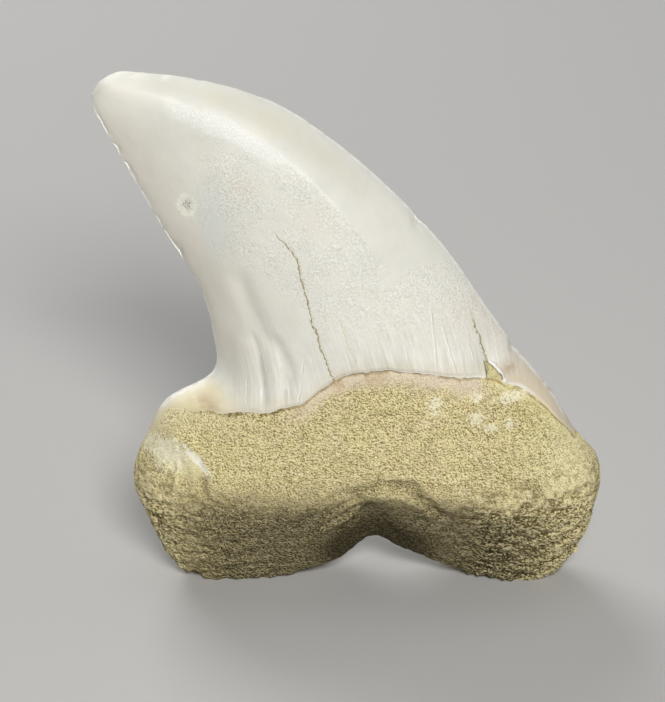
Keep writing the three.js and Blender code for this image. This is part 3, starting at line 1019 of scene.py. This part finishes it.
def paint_pit(nodes, finish, at, settings):
    """The pit: pale petals round a small broken-up hole. The petals' edge is a noise that is
    read by direction alone, and white dots lie over them."""
    from_pit = nodes.vector("SUBTRACT", at.place, (PIT[0], 0.0, PIT[1]))
    flat = nodes.vector("MULTIPLY", from_pit, (1.0, 0.0, 0.85))
    length = nodes.add("ShaderNodeVectorMath", {0: flat}, operation="LENGTH")
    reach = length.outputs["Value"]
    ways = nodes.add("ShaderNodeVectorMath", {0: flat}, operation="NORMALIZE").outputs[0]
    petals = nodes.noise(ways, 3.4, detail=3.0, roughness=0.8)
    petal = nodes.product(nodes.ragged_step(reach, petals, -1.4, 0.55, 0.3), at.inner)
    dots = nodes.noise(at.place, 4.2, detail=1.0)
    hole = nodes.product(nodes.step(reach, 0.6, 0.3), nodes.step(dots, 0.5, 0.4), at.inner)
    gaps = nodes.product(petal, nodes.step(petals, 0.52, 0.42), nodes.step(reach, 1.1, 0.5))
    finish.tint(settings.pit_colour, 0.9, petal)
    finish.tint(settings.crack_colour, 0.14, gaps)
    finish.tint(settings.pale_and_highlight_colour, 0.9, nodes.step(dots, 0.5, 0.6), petal)
    finish.tint(settings.crack_colour, 0.5, hole)
    finish.raise_by(-0.03, gaps)
    finish.raise_by(-0.05, hole)


def crack_lines(nodes, at, field, span, width):
    """A crack's fill and the crumbled band beside it: how near the signed distance to its path,
    made ragged by noise, is to nothing, between the crack's two ends."""
    ragged = nodes.wobble(at.place, 3.6, detail=3.0, roughness=0.7)
    bent = nodes.wobble(at.place, 0.6, detail=1.0)
    offset = nodes.math("ABSOLUTE", nodes.total((field, 1.0), (ragged, 0.6), (bent, 0.9)))
    bottom, top = span
    ends = nodes.product(nodes.step(at.up, bottom - 0.3, bottom + 0.2),
                         nodes.step(at.up, top, top - 3.0), at.inner)
    uneven = nodes.step(nodes.noise(at.place, 2.2, detail=3.0, roughness=0.7), 0.36, 0.6)
    breadth = nodes.product(nodes.math("MULTIPLY_ADD", uneven, width, width * 0.15), ends)
    fill = nodes.step(nodes.math("SUBTRACT", offset, breadth), 0.04, -0.04)
    past_fill = nodes.math("SUBTRACT", offset, nodes.product(breadth, 3.5))
    crumbs = nodes.step(past_fill, 0.16, -0.08)
    return nodes.product(fill, ends), nodes.product(crumbs, ends)


def paint_cracks(nodes, finish, at, settings):
    """Cracks with earth in them and pale crumbled enamel beside them. The faint one is only
    colour."""
    pale = nodes.step(nodes.noise(at.place, 4.0, detail=1.0), 0.5, 0.6)
    fills = []
    for name, _, span, width, strength in CRACKS:
        fill, crumbs = crack_lines(nodes, at, getattr(at, name), span, width)
        finish.tint(settings.crumb_colour, 0.9, crumbs, strength)
        finish.tint(settings.pale_and_highlight_colour, 0.9, crumbs, pale, strength)
        finish.tint(settings.crack_colour, strength, fill)
        finish.raise_by(-0.03, crumbs)
        fills.append(fill)
    finish.raise_by(-0.10, nodes.highest(*fills[:GROOVED_CRACKS]))


def paint_chip(nodes, finish, at, settings):
    """Where the second crack meets the root: a wedge of bare dentine between it and the broken
    edge of the outer strip, which has a thick pale lip. Gives the wedge."""
    ragged = nodes.wobble(at.place, 1.8, detail=3.0, roughness=0.7)
    slant = nodes.total((at.chip_crack, 1.0), (at.edge_height, 0.95), (ragged, 0.9))
    top = nodes.step(at.edge_height, 1.9, 1.3)
    wedge = nodes.product(nodes.ragged_step(at.chip_crack, ragged, 0.5, -0.3, -0.12),
                          nodes.step(slant, 1.6, 1.45), top, at.inner)
    lip = nodes.product(nodes.line(slant, 1.8, 0.34), top, at.inner)
    angle = nodes.product(nodes.line(slant, 1.48, 0.12), top, at.inner)
    finish.tint(settings.pale_and_highlight_colour, 0.7, lip)
    finish.tint(settings.chip_colour, 0.95, wedge)
    finish.tint(settings.earth_and_shade_colour, 0.6, wedge, nodes.step(ragged, -0.02, -0.16))
    finish.tint(settings.crack_colour, 0.55, angle, nodes.step(at.chip_crack, -0.2, 0.2))
    finish.raise_by(0.10, lip)
    finish.raise_by(-0.3, wedge)
    finish.raise_by(0.4, wedge, ragged)
    return wedge


def enamel_material(settings, groups):
    """Cream-white enamel: smooth and bright along the cutting edges, partly with painted highlights
    there and along the crest, with painted shade on the left margin, worn and finely speckled in
    the middle, striated and folded at its base, stained by the root, with cracks, a pit and a chip
    in its lower edge."""
    material, nodes, shader = new_material("enamel")
    at = place_on_tooth(nodes, groups)
    finish = mottled(nodes, groups, at, settings.enamel_colour, settings.enamel_shade, 0.13)
    paint_clouds(nodes, finish, at, settings)
    paint_striae(nodes, finish, at, settings)
    worn = paint_wear_and_crest_highlight(nodes, finish, at, settings)
    stain = paint_stains(nodes, finish, at, settings, groups)
    paint_rim_highlights(nodes, finish, at, settings)
    paint_pit(nodes, finish, at, settings)
    paint_cracks(nodes, finish, at, settings)
    wedge = paint_chip(nodes, finish, at, settings)
    finish.raise_by(0.12, nodes.wobble(at.place, 0.4))
    finish.feed(shader)

    dull = nodes.total((worn, 0.6), (stain, 0.4), (wedge, 0.8), (nodes.near(at, DULL_TIP), 1.0))
    roughness = nodes.add("ShaderNodeMapRange", {
        "Value": dull, "To Min": settings.enamel_roughness, "To Max": WORN_ROUGHNESS,
    })
    nodes.feed(shader.inputs["Roughness"], roughness.outputs[0])
    shader.inputs["Coat Weight"].default_value = ENAMEL_COAT
    shader.inputs["Coat Roughness"].default_value = ENAMEL_COAT_ROUGHNESS
    shader.inputs["IOR"].default_value = ENAMEL_IOR
    return material


# Root

def paint_collar(nodes, finish, at, settings):
    """Below the enamel: the smooth collar, pinkish with reddish-brown clouds, the olive right
    shoulder with its pale and dark growth lines, and the stained top on the left. Gives how calm
    each of them makes the grain."""
    collar = nodes.product(nodes.ragged_step(at.edge_height, at.cloud, 2.6, -1.2, 0.6),
                           nodes.step(at.across, -9.0, -3.0), nodes.step(at.across, 16.0, 13.0))
    shoulder = nodes.product(nodes.ragged_step(at.edge_height, at.cloud, 2.0, -0.9, 0.7),
                             nodes.step(at.across, 13.0, 15.5))
    left_top = nodes.product(nodes.ragged_step(at.edge_height, at.cloud, 2.4, -1.4, 1.2),
                             nodes.step(at.across, -10.0, -14.0))
    along = nodes.add("ShaderNodeCombineXYZ", {
        "X": at.edge_height, "Y": nodes.product(at.across, 0.12),
    }).outputs[0]
    growth = nodes.noise(along, 3.4, detail=2.0, roughness=0.6)
    finish.tint(settings.collar_colour, 0.85, collar)
    finish.tint(settings.olive_colour, 0.8, shoulder)
    finish.tint(settings.growth_colour, 0.7, shoulder, nodes.step(growth, 0.5, 0.6))
    finish.tint(settings.earth_and_shade_colour, 0.35, shoulder, nodes.step(growth, 0.44, 0.34))
    finish.tint(settings.heel_colour, 0.85, left_top)
    finish.tint(settings.reddish_colour, 0.6, nodes.step(at.cloud, 0.48, 0.64),
                nodes.step(at.edge_height, -4.5, -1.0), nodes.near(at, REDDISH_BAND))
    return collar, nodes.product(shoulder, 0.85), nodes.product(left_top, 0.4)


def paint_scar(nodes, finish, at, settings):
    """The scar on the left shoulder: a rubbed patch and a smooth facet below a slanting line,
    and the pale facet on the right shoulder. Gives the distance from that line, and how calm
    each of the two makes the grain."""
    slant = nodes.total((at.across, 0.70), (at.up, 0.72), (at.rough, 0.7))
    below_ridge = nodes.product(nodes.step(slant, 0.6, 0.2), at.inner)
    facet = nodes.product(nodes.near(at, SCAR_FACET), below_ridge)
    patch = nodes.near(at, SCAR_PATCH)
    ragged = nodes.total((patch, 1.0), (at.rough, 1.6), (at.speckle, 1.2))
    patch = nodes.product(nodes.step(ragged, 0.1, 0.7), nodes.step(patch, 0.0, 0.25), below_ridge)
    finish.tint(settings.facet_colour, 0.8, nodes.step(facet, 0.1, 0.7))
    finish.tint(settings.facet_colour, 0.85, nodes.near(at, PALE_SHOULDER))
    finish.tint(settings.patch_colour, 0.95, patch)
    return slant, nodes.product(nodes.step(facet, 0.1, 0.6), 0.8), nodes.product(patch, 0.75)


def paint_grain(nodes, finish, at, settings, groups, calm):
    """The folds over the arch and the modelled knobs of the lobes, with painted shade in their
    creases and a painted highlight on top, and over them the painted grain, with its painted shade
    and highlight: fine above, drawn out level low in the middle and coarse on the lobes, with
    whiter flecks as painted highlights on its tops in places. Low down it is drawn out from front
    to back, and it is weaker where the root is calm. Gives how much of each place is a grain's lit
    top."""
    apart = nodes.add("ShaderNodeSeparateXYZ", {"Vector": at.place}).outputs
    squeeze = nodes.math("MULTIPLY_ADD", nodes.step(at.up, 13.0, 6.0), -0.5, 1.0)
    place = nodes.add("ShaderNodeCombineXYZ", {
        "X": apart["X"], "Y": nodes.product(apart["Y"], squeeze), "Z": apart["Z"],
    }).outputs[0]
    fine, level, coarse = (grains(nodes, groups, nodes.vector("MULTIPLY", place, draw), scale)
                           for draw, scale in GRAIN_SIZES)
    low = nodes.step(at.up, 15.0, 10.0)
    ends = nodes.step(nodes.math("ABSOLUTE", nodes.math("ADD", at.across, 3.0)), 11.0, 18.0)
    height, crease, top = (
        nodes.between(low, fine[part], nodes.between(ends, level[part], coarse[part]))
        for part in ("Height", "Crease", "Top"))
    strong = nodes.math("MULTIPLY_ADD", calm, -0.7, 1.0)

    broken = nodes.step(nodes.noise(at.place, 1.6, detail=3.0, roughness=0.7), 0.35, 0.62)
    # Painted shade in the creases of the arch's folds and a painted highlight on their tops.
    finish.tint(settings.earth_and_shade_colour, 0.35, nodes.step(at.folds, 0.0, -0.3), at.inner)
    finish.tint(settings.earth_and_shade_colour, 0.85, nodes.step(at.folds, -0.14, -0.4), broken, at.inner)
    finish.tint(settings.grain_and_highlight_colour, 0.5, nodes.step(at.folds, 0.12, 0.35), broken, at.inner)
    # Painted shade in the creases of the modelled knobs and a painted highlight on their tops.
    knobbly = nodes.product(nodes.step(at.up, 17.0, 13.0), ends, strong)
    finish.tint(settings.earth_and_shade_colour, 0.7, nodes.step(at.grain, 0.16, -0.04), knobbly)
    finish.tint(settings.grain_and_highlight_colour, 0.75, nodes.step(at.grain, 0.17, 0.31), knobbly)
    # Earth and painted shade in the painted grain's creases, a painted highlight and whiter flecks
    # on its tops.
    finish.tint(settings.earth_and_shade_colour, 0.85, crease, strong)
    finish.tint(settings.grain_and_highlight_colour, 0.75, top, strong)
    flecks = nodes.step(nodes.noise(at.place, 2.4, detail=2.0, roughness=0.6), 0.55, 0.68)
    finish.tint(settings.ridge_and_highlight_colour, 0.5, top, strong, flecks)
    finish.raise_by(0.12, height, strong)
    return top


def paint_rubbed(nodes, finish, at, settings, slant, top):
    """Whitish rubbed spots on the right and the scar's sharp ridge, which is worn pale and also
    painted as a highlight, both strongest on the grains' lit tops."""
    spots = nodes.highest(*(nodes.near(at, spot) for spot in RUBBED_SPOTS))
    ragged = nodes.total((spots, 1.0), (at.rough, 1.2), (at.speckle, 2.6))
    spots = nodes.product(nodes.step(ragged, 0.3, 0.8), nodes.step(spots, 0.0, 0.3),
                          nodes.math("MULTIPLY_ADD", top, 0.4, 0.6))
    ridge = nodes.product(nodes.near(at, SCAR_RIDGE), nodes.line(slant, 0.4, 0.55),
                          nodes.math("MULTIPLY_ADD", top, 0.5, 0.6))
    finish.tint(settings.patch_colour, 1.0, spots, at.inner)
    finish.tint(settings.ridge_and_highlight_colour, 0.9, nodes.step(ridge, 0.05, 0.6), at.inner)


def paint_angle(nodes, finish, at, settings):
    """The thin brown line in the angle under the enamel, partly earth and partly a painted shadow
    under the enamel's step, and dark pits along the left heel.
    """
    waver = nodes.total((at.edge_height, 1.0), (nodes.math("SUBTRACT", at.cloud, 0.5), 0.9))
    line = nodes.product(nodes.line(waver, -0.16, 0.2), nodes.step(at.spot, 0.36, 0.5), at.inner,
                         nodes.step(at.across, -17.0, -14.0))
    pits = nodes.product(nodes.line(waver, -0.2, 0.3), nodes.step(at.across, -6.0, -9.0),
                         nodes.step(at.across, -17.5, -15.0), at.inner,
                         nodes.step(nodes.noise(at.place, 2.6, detail=1.0), 0.5, 0.38))
    # Painted shadow and earth in the angle under the enamel.
    finish.tint(settings.crack_colour, 0.5, line)
    finish.tint(settings.earth_and_shade_colour, 0.6, pits)
    finish.raise_by(-0.08, line)
    finish.raise_by(-0.15, pits)


def paint_underside_shade(nodes, finish, at, settings, top):
    """Painted shade underneath: a near-black colour laid on the root's lower part where shade
    falls, starting lower on the right, darkest in the arch, weaker at both sides and on the outer
    face, with the grains' tops showing through."""
    right = nodes.step(at.across, 11.0, 17.0)
    level = nodes.total((at.up, 1.0), (at.cloud, 3.0), (right, 1.8))
    middle = nodes.step(nodes.math("ABSOLUTE", nodes.math("SUBTRACT", at.across, 1.5)), 26.0, 14.0)
    facing = nodes.math("MULTIPLY_ADD", at.inner, 0.5, 0.5)
    finish.tint(settings.underside_shade_colour, 0.82, nodes.step(level, 17.3, 11.8), middle, facing,
                nodes.math("MULTIPLY_ADD", top, -0.4, 1.0))
    finish.tint(settings.underside_shade_colour, 1.0, nodes.step(nodes.near(at, ARCH_SHADE), 0.0, 0.6), facing,
                nodes.math("MULTIPLY_ADD", top, -0.25, 1.0))


def root_material(settings, groups):
    """Sandy root: grains with earth and painted shade between and below them and a painted
    highlight on their tops, a smooth pinkish collar, olive shoulders, a scar, rubbed whitish places
    and painted shade on the underside."""
    material, nodes, shader = new_material("root")
    at = place_on_tooth(nodes, groups)
    at.cloud = nodes.noise(at.place, 0.45, detail=3.0, roughness=0.6)
    at.spot = nodes.noise(at.place, 0.75, detail=3.0, roughness=0.6)
    at.rough = nodes.math("SUBTRACT", at.spot, 0.5)
    at.speckle = nodes.wobble(at.place, 3.4, detail=1.0)
    finish = mottled(nodes, groups, at, settings.root_colour, settings.root_shade, 0.25)
    finish.tint(settings.tan_colour, 0.6, nodes.step(at.spot, 0.47, 0.66))
    olive = nodes.highest(nodes.near(at, LEFT_OLIVE), nodes.near(at, RIGHT_OLIVE))
    finish.tint(settings.olive_colour, 0.8, olive)

    collar_calm = paint_collar(nodes, finish, at, settings)
    slant, *scar_calm = paint_scar(nodes, finish, at, settings)
    shoulder_calm = nodes.product(nodes.near(at, CALM_SHOULDER), 0.45)
    calm = nodes.highest(*collar_calm, *scar_calm, shoulder_calm)
    top = paint_grain(nodes, finish, at, settings, groups, calm)
    paint_rubbed(nodes, finish, at, settings, slant, top)
    paint_angle(nodes, finish, at, settings)
    paint_underside_shade(nodes, finish, at, settings, top)
    finish.feed(shader)
    shader.inputs["Roughness"].default_value = DUSTY_ROUGHNESS
    shader.inputs["IOR"].default_value = ROOT_IOR
    shader.inputs["Specular IOR Level"].default_value = DUSTY_SPECULAR
    return material


# ---------------------------------------------------------------------------------------------
# Settings
# ---------------------------------------------------------------------------------------------

def colour_setting(name, description, default):
    return bpy.props.FloatVectorProperty(name=name, description=description, subtype="COLOR",
                                         size=3, min=0.0, max=1.0, default=default)


class ToothSettings(bpy.types.PropertyGroup):
    grain_height: bpy.props.FloatProperty(
        name="Grain height", description="Strength of the root's modelled grain",
        default=1.0, min=0.0, max=3.0, subtype="FACTOR")
    enamel_colour: colour_setting("Enamel", "Plain enamel", (0.835, 0.825, 0.75))
    enamel_shade: colour_setting("Enamel shade", "Clouds in the enamel", (0.77, 0.765, 0.69))
    warm_colour: colour_setting("Warm enamel", "Warm clouds in the enamel", (0.80, 0.74, 0.635))
    cool_colour: colour_setting("Cool enamel", "Bluish enamel by the pit", (0.73, 0.76, 0.73))
    band_colour: colour_setting("Band", "Faint olive band along the back edge", (0.74, 0.72, 0.59))
    tip_colour: colour_setting("Tip", "Enamel at the tip", (0.97, 0.95, 0.85))
    # Pale specks, threads, crumbs and rims, also laid on as painted highlights along the cutting
    # edges, the crest and the enamel's lower edge.
    pale_and_highlight_colour: colour_setting("Rims", "Bright rims and specks", (0.98, 0.98, 0.94))
    # Dark streaks and pits, also laid on as painted shade in the hollows of the folds.
    streak_and_shade_colour: colour_setting("Striae", "Fine streaks and pits in enamel", (0.55, 0.52, 0.44))
    stain_colour: colour_setting("Stain", "Enamel stained by the root", (0.70, 0.62, 0.44))
    heel_colour: colour_setting("Left heel", "Yellowish stain of the left heel", (0.74, 0.65, 0.39))
    strip_colour: colour_setting("Right heel", "Pink stain of the right heel", (0.74, 0.63, 0.46))
    smudge_colour: colour_setting("Smudges", "Brownish smudges at the heels", (0.50, 0.37, 0.25))
    crack_colour: colour_setting("Crack fill", "Earth in the cracks", (0.30, 0.215, 0.07))
    crumb_colour: colour_setting("Crumbs", "Crumbled enamel by the cracks", (0.80, 0.73, 0.46))
    pit_colour: colour_setting("Pit", "Petals of the pit", (0.93, 0.92, 0.78))
    chip_colour: colour_setting("Chip", "Bare dentine in the chip", (0.72, 0.63, 0.32))
    root_colour: colour_setting("Root", "Plain root", (0.75, 0.64, 0.315))
    root_shade: colour_setting("Root shade", "Clouds on the root", (0.63, 0.52, 0.26))
    olive_colour: colour_setting("Olive", "Olive tint by the heels", (0.74, 0.65, 0.29))
    collar_colour: colour_setting("Collar", "Band below the enamel", (0.75, 0.645, 0.53))
    reddish_colour: colour_setting("Reddish", "Reddish clouds below the enamel", (0.54, 0.38, 0.21))
    # Dark earth between the grains, also laid on as painted shade in the creases of grains, knobs
    # and folds and below each grain.
    earth_and_shade_colour: colour_setting("Creases", "Earth between the grains", (0.13, 0.095, 0.02))
    # Pale grain tops, also laid on as a painted highlight on the lit tops of grains, knobs and
    # folds.
    grain_and_highlight_colour: colour_setting("Grains", "Tops of the grains", (0.98, 0.875, 0.52))
    growth_colour: colour_setting("Growth", "Pale lines on the shoulder", (0.94, 0.88, 0.62))
    facet_colour: colour_setting("Facet", "Smooth yellowish facet of the scar", (0.93, 0.85, 0.50))
    tan_colour: colour_setting("Tan", "Pinkish clouds in the root", (0.80, 0.64, 0.39))
    patch_colour: colour_setting("Patch", "Rubbed whitish patch and spots", (1.0, 0.96, 0.72))
    # Pale worn ridge of the scar, also laid on as a painted highlight on the ridge and on grain
    # tops.
    ridge_and_highlight_colour: colour_setting("Ridge", "The scar's sharp ridge", (0.98, 0.96, 0.82))
    # Painted shade: near-black colour laid on the root's underside and in the arch, where shade
    # falls.
    underside_shade_colour: colour_setting("Underside", "Earth under the root", (0.04, 0.03, 0.01))
    enamel_roughness: bpy.props.FloatProperty(
        name="Enamel roughness", description="Roughness of unworn enamel",
        default=0.4, min=0.0, max=1.0, subtype="FACTOR")


class StudioSettings(bpy.types.PropertyGroup):
    floor_colour: colour_setting("Floor", "Plain pale floor", (0.50, 0.495, 0.485))
    floor_radius: bpy.props.FloatProperty(
        name="Floor radius", description="Radius of the flat part of the floor",
        default=0.9, min=0.2, unit="LENGTH")
    elevation: bpy.props.FloatProperty(
        name="Camera elevation", description="How far the camera looks down",
        default=math.radians(29), subtype="ANGLE")
    aim: bpy.props.FloatVectorProperty(
        name="Camera aim", description="Place in the blade that the camera looks at",
        size=3, default=(-0.00212, 0.0, 0.0264), subtype="TRANSLATION", unit="LENGTH")
    distance: bpy.props.FloatProperty(
        name="Camera distance", description="Distance from the camera to where it looks",
        default=0.32, min=0.05, unit="LENGTH")
    lens: bpy.props.FloatProperty(
        name="Focal length", description="Focal length of the camera in millimetres",
        default=152.0, min=10.0)


# ---------------------------------------------------------------------------------------------
# Studio
# ---------------------------------------------------------------------------------------------

# Lengths of the floor's curve and of the wall above it, and steps round and up the curve.
COVE = 0.5
WALL = 0.6
TURN_STEPS = 96
COVE_STEPS = 24
FLOOR_MIDDLE = 0.3  # share of the floor's radius that a fan fills

# The soft lights: place, size across and along, power in watts and colour.
LIGHTS = {
    "key": ((0.08, -0.465, 0.43), (0.20, 0.16), 3.15, (1.0, 0.99, 0.97)),
    "top": ((0.02, 0.06, 0.62), (0.40, 0.40), 0.45, (1.0, 1.0, 1.0)),
    "back": ((-0.22, 0.42, 0.36), (0.36, 0.30), 2.0, (1.0, 1.0, 1.0)),
}
SKY_COLOUR = (0.9, 0.92, 0.95, 1.0)
SKY_STRENGTH = 0.07
CAMERA_SIGHT = (0.01, 20.0)


def studio_floor(settings):
    """A round floor that curves up into a wall: a profile turned about the upright axis."""
    turn = np.linspace(0, 2 * math.pi, TURN_STEPS, endpoint=False)
    bend = np.linspace(0, math.pi / 2, COVE_STEPS)
    flat = settings.floor_radius
    radius = np.concatenate([[FLOOR_MIDDLE * flat], flat + COVE * np.sin(bend), [flat + COVE]])
    height = np.concatenate([[0.0], COVE * (1 - np.cos(bend)), [COVE + WALL]])
    ring_points = np.stack([
        radius[:, None] * np.cos(turn), radius[:, None] * np.sin(turn),
        np.broadcast_to(height[:, None], (len(height), len(turn))),
    ], axis=-1)
    numbers = np.arange(radius.size * turn.size).reshape(radius.size, turn.size)
    faces = quads(numbers[1:], numbers[:-1])
    middle = np.full(len(turn), numbers.size)
    centre_fan = np.stack([numbers[0], np.roll(numbers[0], -1), middle], axis=-1)
    mesh = bpy.data.meshes.new("floor")
    points = np.concatenate([ring_points.reshape(-1, 3), [[0.0, 0.0, 0.0]]])
    mesh.from_pydata(points.tolist(), [], faces.tolist() + centre_fan.tolist())
    mesh.polygons.foreach_set("use_smooth", np.ones(len(mesh.polygons), dtype=bool))
    material, _, shader = new_material("floor")
    shader.inputs["Base Color"].default_value = (*settings.floor_colour, 1.0)
    shader.inputs["Roughness"].default_value = DUSTY_ROUGHNESS
    shader.inputs["Specular IOR Level"].default_value = DUSTY_SPECULAR
    mesh.materials.append(material)
    floor = bpy.data.objects.new("floor", mesh)
    bpy.context.collection.objects.link(floor)


def area_light(name, aim, place, size, power, tint):
    data = bpy.data.lights.new(name, "AREA")
    data.shape = "RECTANGLE"
    data.size, data.size_y = size
    data.energy = power
    data.color = tint
    light = bpy.data.objects.new(name, data)
    light.location = place
    light.rotation_euler = (Vector(aim) - Vector(place)).to_track_quat("-Z", "Y").to_euler()
    bpy.context.collection.objects.link(light)


def studio_lights(centre):
    """A soft key light high in front and a little to the right, a weak wide one overhead, one
    behind for the outer face, and a faint pale sky."""
    for name, (place, size, power, tint) in LIGHTS.items():
        area_light(name, centre, place, size, power, tint)
    world = bpy.data.worlds.new("studio")
    world.use_nodes = True
    sky = world.node_tree.nodes["Background"]
    sky.inputs["Color"].default_value = SKY_COLOUR
    sky.inputs["Strength"].default_value = SKY_STRENGTH
    bpy.context.scene.world = world
    bpy.context.scene.view_settings.view_transform = "Standard"


def studio_camera(settings):
    """The camera looks down on the tooth's inner face, aimed at a place in the blade."""
    ahead = Vector((0, math.cos(settings.elevation), -math.sin(settings.elevation)))
    aim = Vector(standing(np.array(settings.aim) / MM))
    data = bpy.data.cameras.new("camera")
    data.lens = settings.lens
    data.clip_start, data.clip_end = CAMERA_SIGHT
    camera = bpy.data.objects.new("camera", data)
    camera.location = aim - ahead * settings.distance
    camera.rotation_euler = ahead.to_track_quat("-Z", "Y").to_euler()
    bpy.context.collection.objects.link(camera)
    bpy.context.scene.camera = camera


# ---------------------------------------------------------------------------------------------
# Operators and panel
# ---------------------------------------------------------------------------------------------

class TOOTH_OT_build_tooth(bpy.types.Operator):
    """Build the tooth's surface with its enamel and root materials"""

    bl_idname = "tooth.build_tooth"
    bl_label = "Build tooth"

    def execute(self, context):
        settings = context.scene.tooth_settings
        groups = {"place": blade_place_group(), "mottle": mottle_group(), "grain": lit_grain_group()}
        mesh = build_tooth_mesh(settings)
        mesh.materials.append(root_material(settings, groups))
        mesh.materials.append(enamel_material(settings, groups))
        piece = bpy.data.objects.new("tooth_surface", mesh)
        context.collection.objects.link(piece)
        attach(piece, "root")
        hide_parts("tooth")
        return {"FINISHED"}


class TOOTH_OT_build_studio(bpy.types.Operator):
    """Build the pale floor, the soft lights and the camera"""

    bl_idname = "tooth.build_studio"
    bl_label = "Build studio"

    def execute(self, context):
        settings = context.scene.studio_settings
        low, high = (Vector(corner) for corner in CAD_BOX)
        centre = (low + high) / 2
        studio_floor(settings)
        studio_lights(centre)
        studio_camera(settings)
        return {"FINISHED"}


class TOOTH_PT_panel(bpy.types.Panel):
    """Lists the tooth's settings and its build buttons"""

    bl_idname = "TOOTH_PT_panel"
    bl_label = "Fossil tooth"
    bl_space_type = "VIEW_3D"
    bl_region_type = "UI"
    bl_category = "Tooth"

    def draw(self, context):
        for settings in (context.scene.tooth_settings, context.scene.studio_settings):
            box = self.layout.box()
            for name in settings.bl_rna.properties.keys():
                if name not in ("rna_type", "name"):
                    box.prop(settings, name)
        self.layout.operator(TOOTH_OT_build_tooth.bl_idname)
        self.layout.operator(TOOTH_OT_build_studio.bl_idname)


CLASSES = (
    ToothSettings,
    StudioSettings,
    TOOTH_OT_build_tooth,
    TOOTH_OT_build_studio,
    TOOTH_PT_panel,
)


def register():
    for cls in CLASSES:
        bpy.utils.register_class(cls)
    bpy.types.Scene.tooth_settings = bpy.props.PointerProperty(type=ToothSettings)
    bpy.types.Scene.studio_settings = bpy.props.PointerProperty(type=StudioSettings)


def unregister():
    del bpy.types.Scene.studio_settings
    del bpy.types.Scene.tooth_settings
    for cls in reversed(CLASSES):
        bpy.utils.unregister_class(cls)


def main():
    register()
    bpy.ops.tooth.build_tooth()
    bpy.ops.tooth.build_studio()


if __name__ == "__main__":
    main()
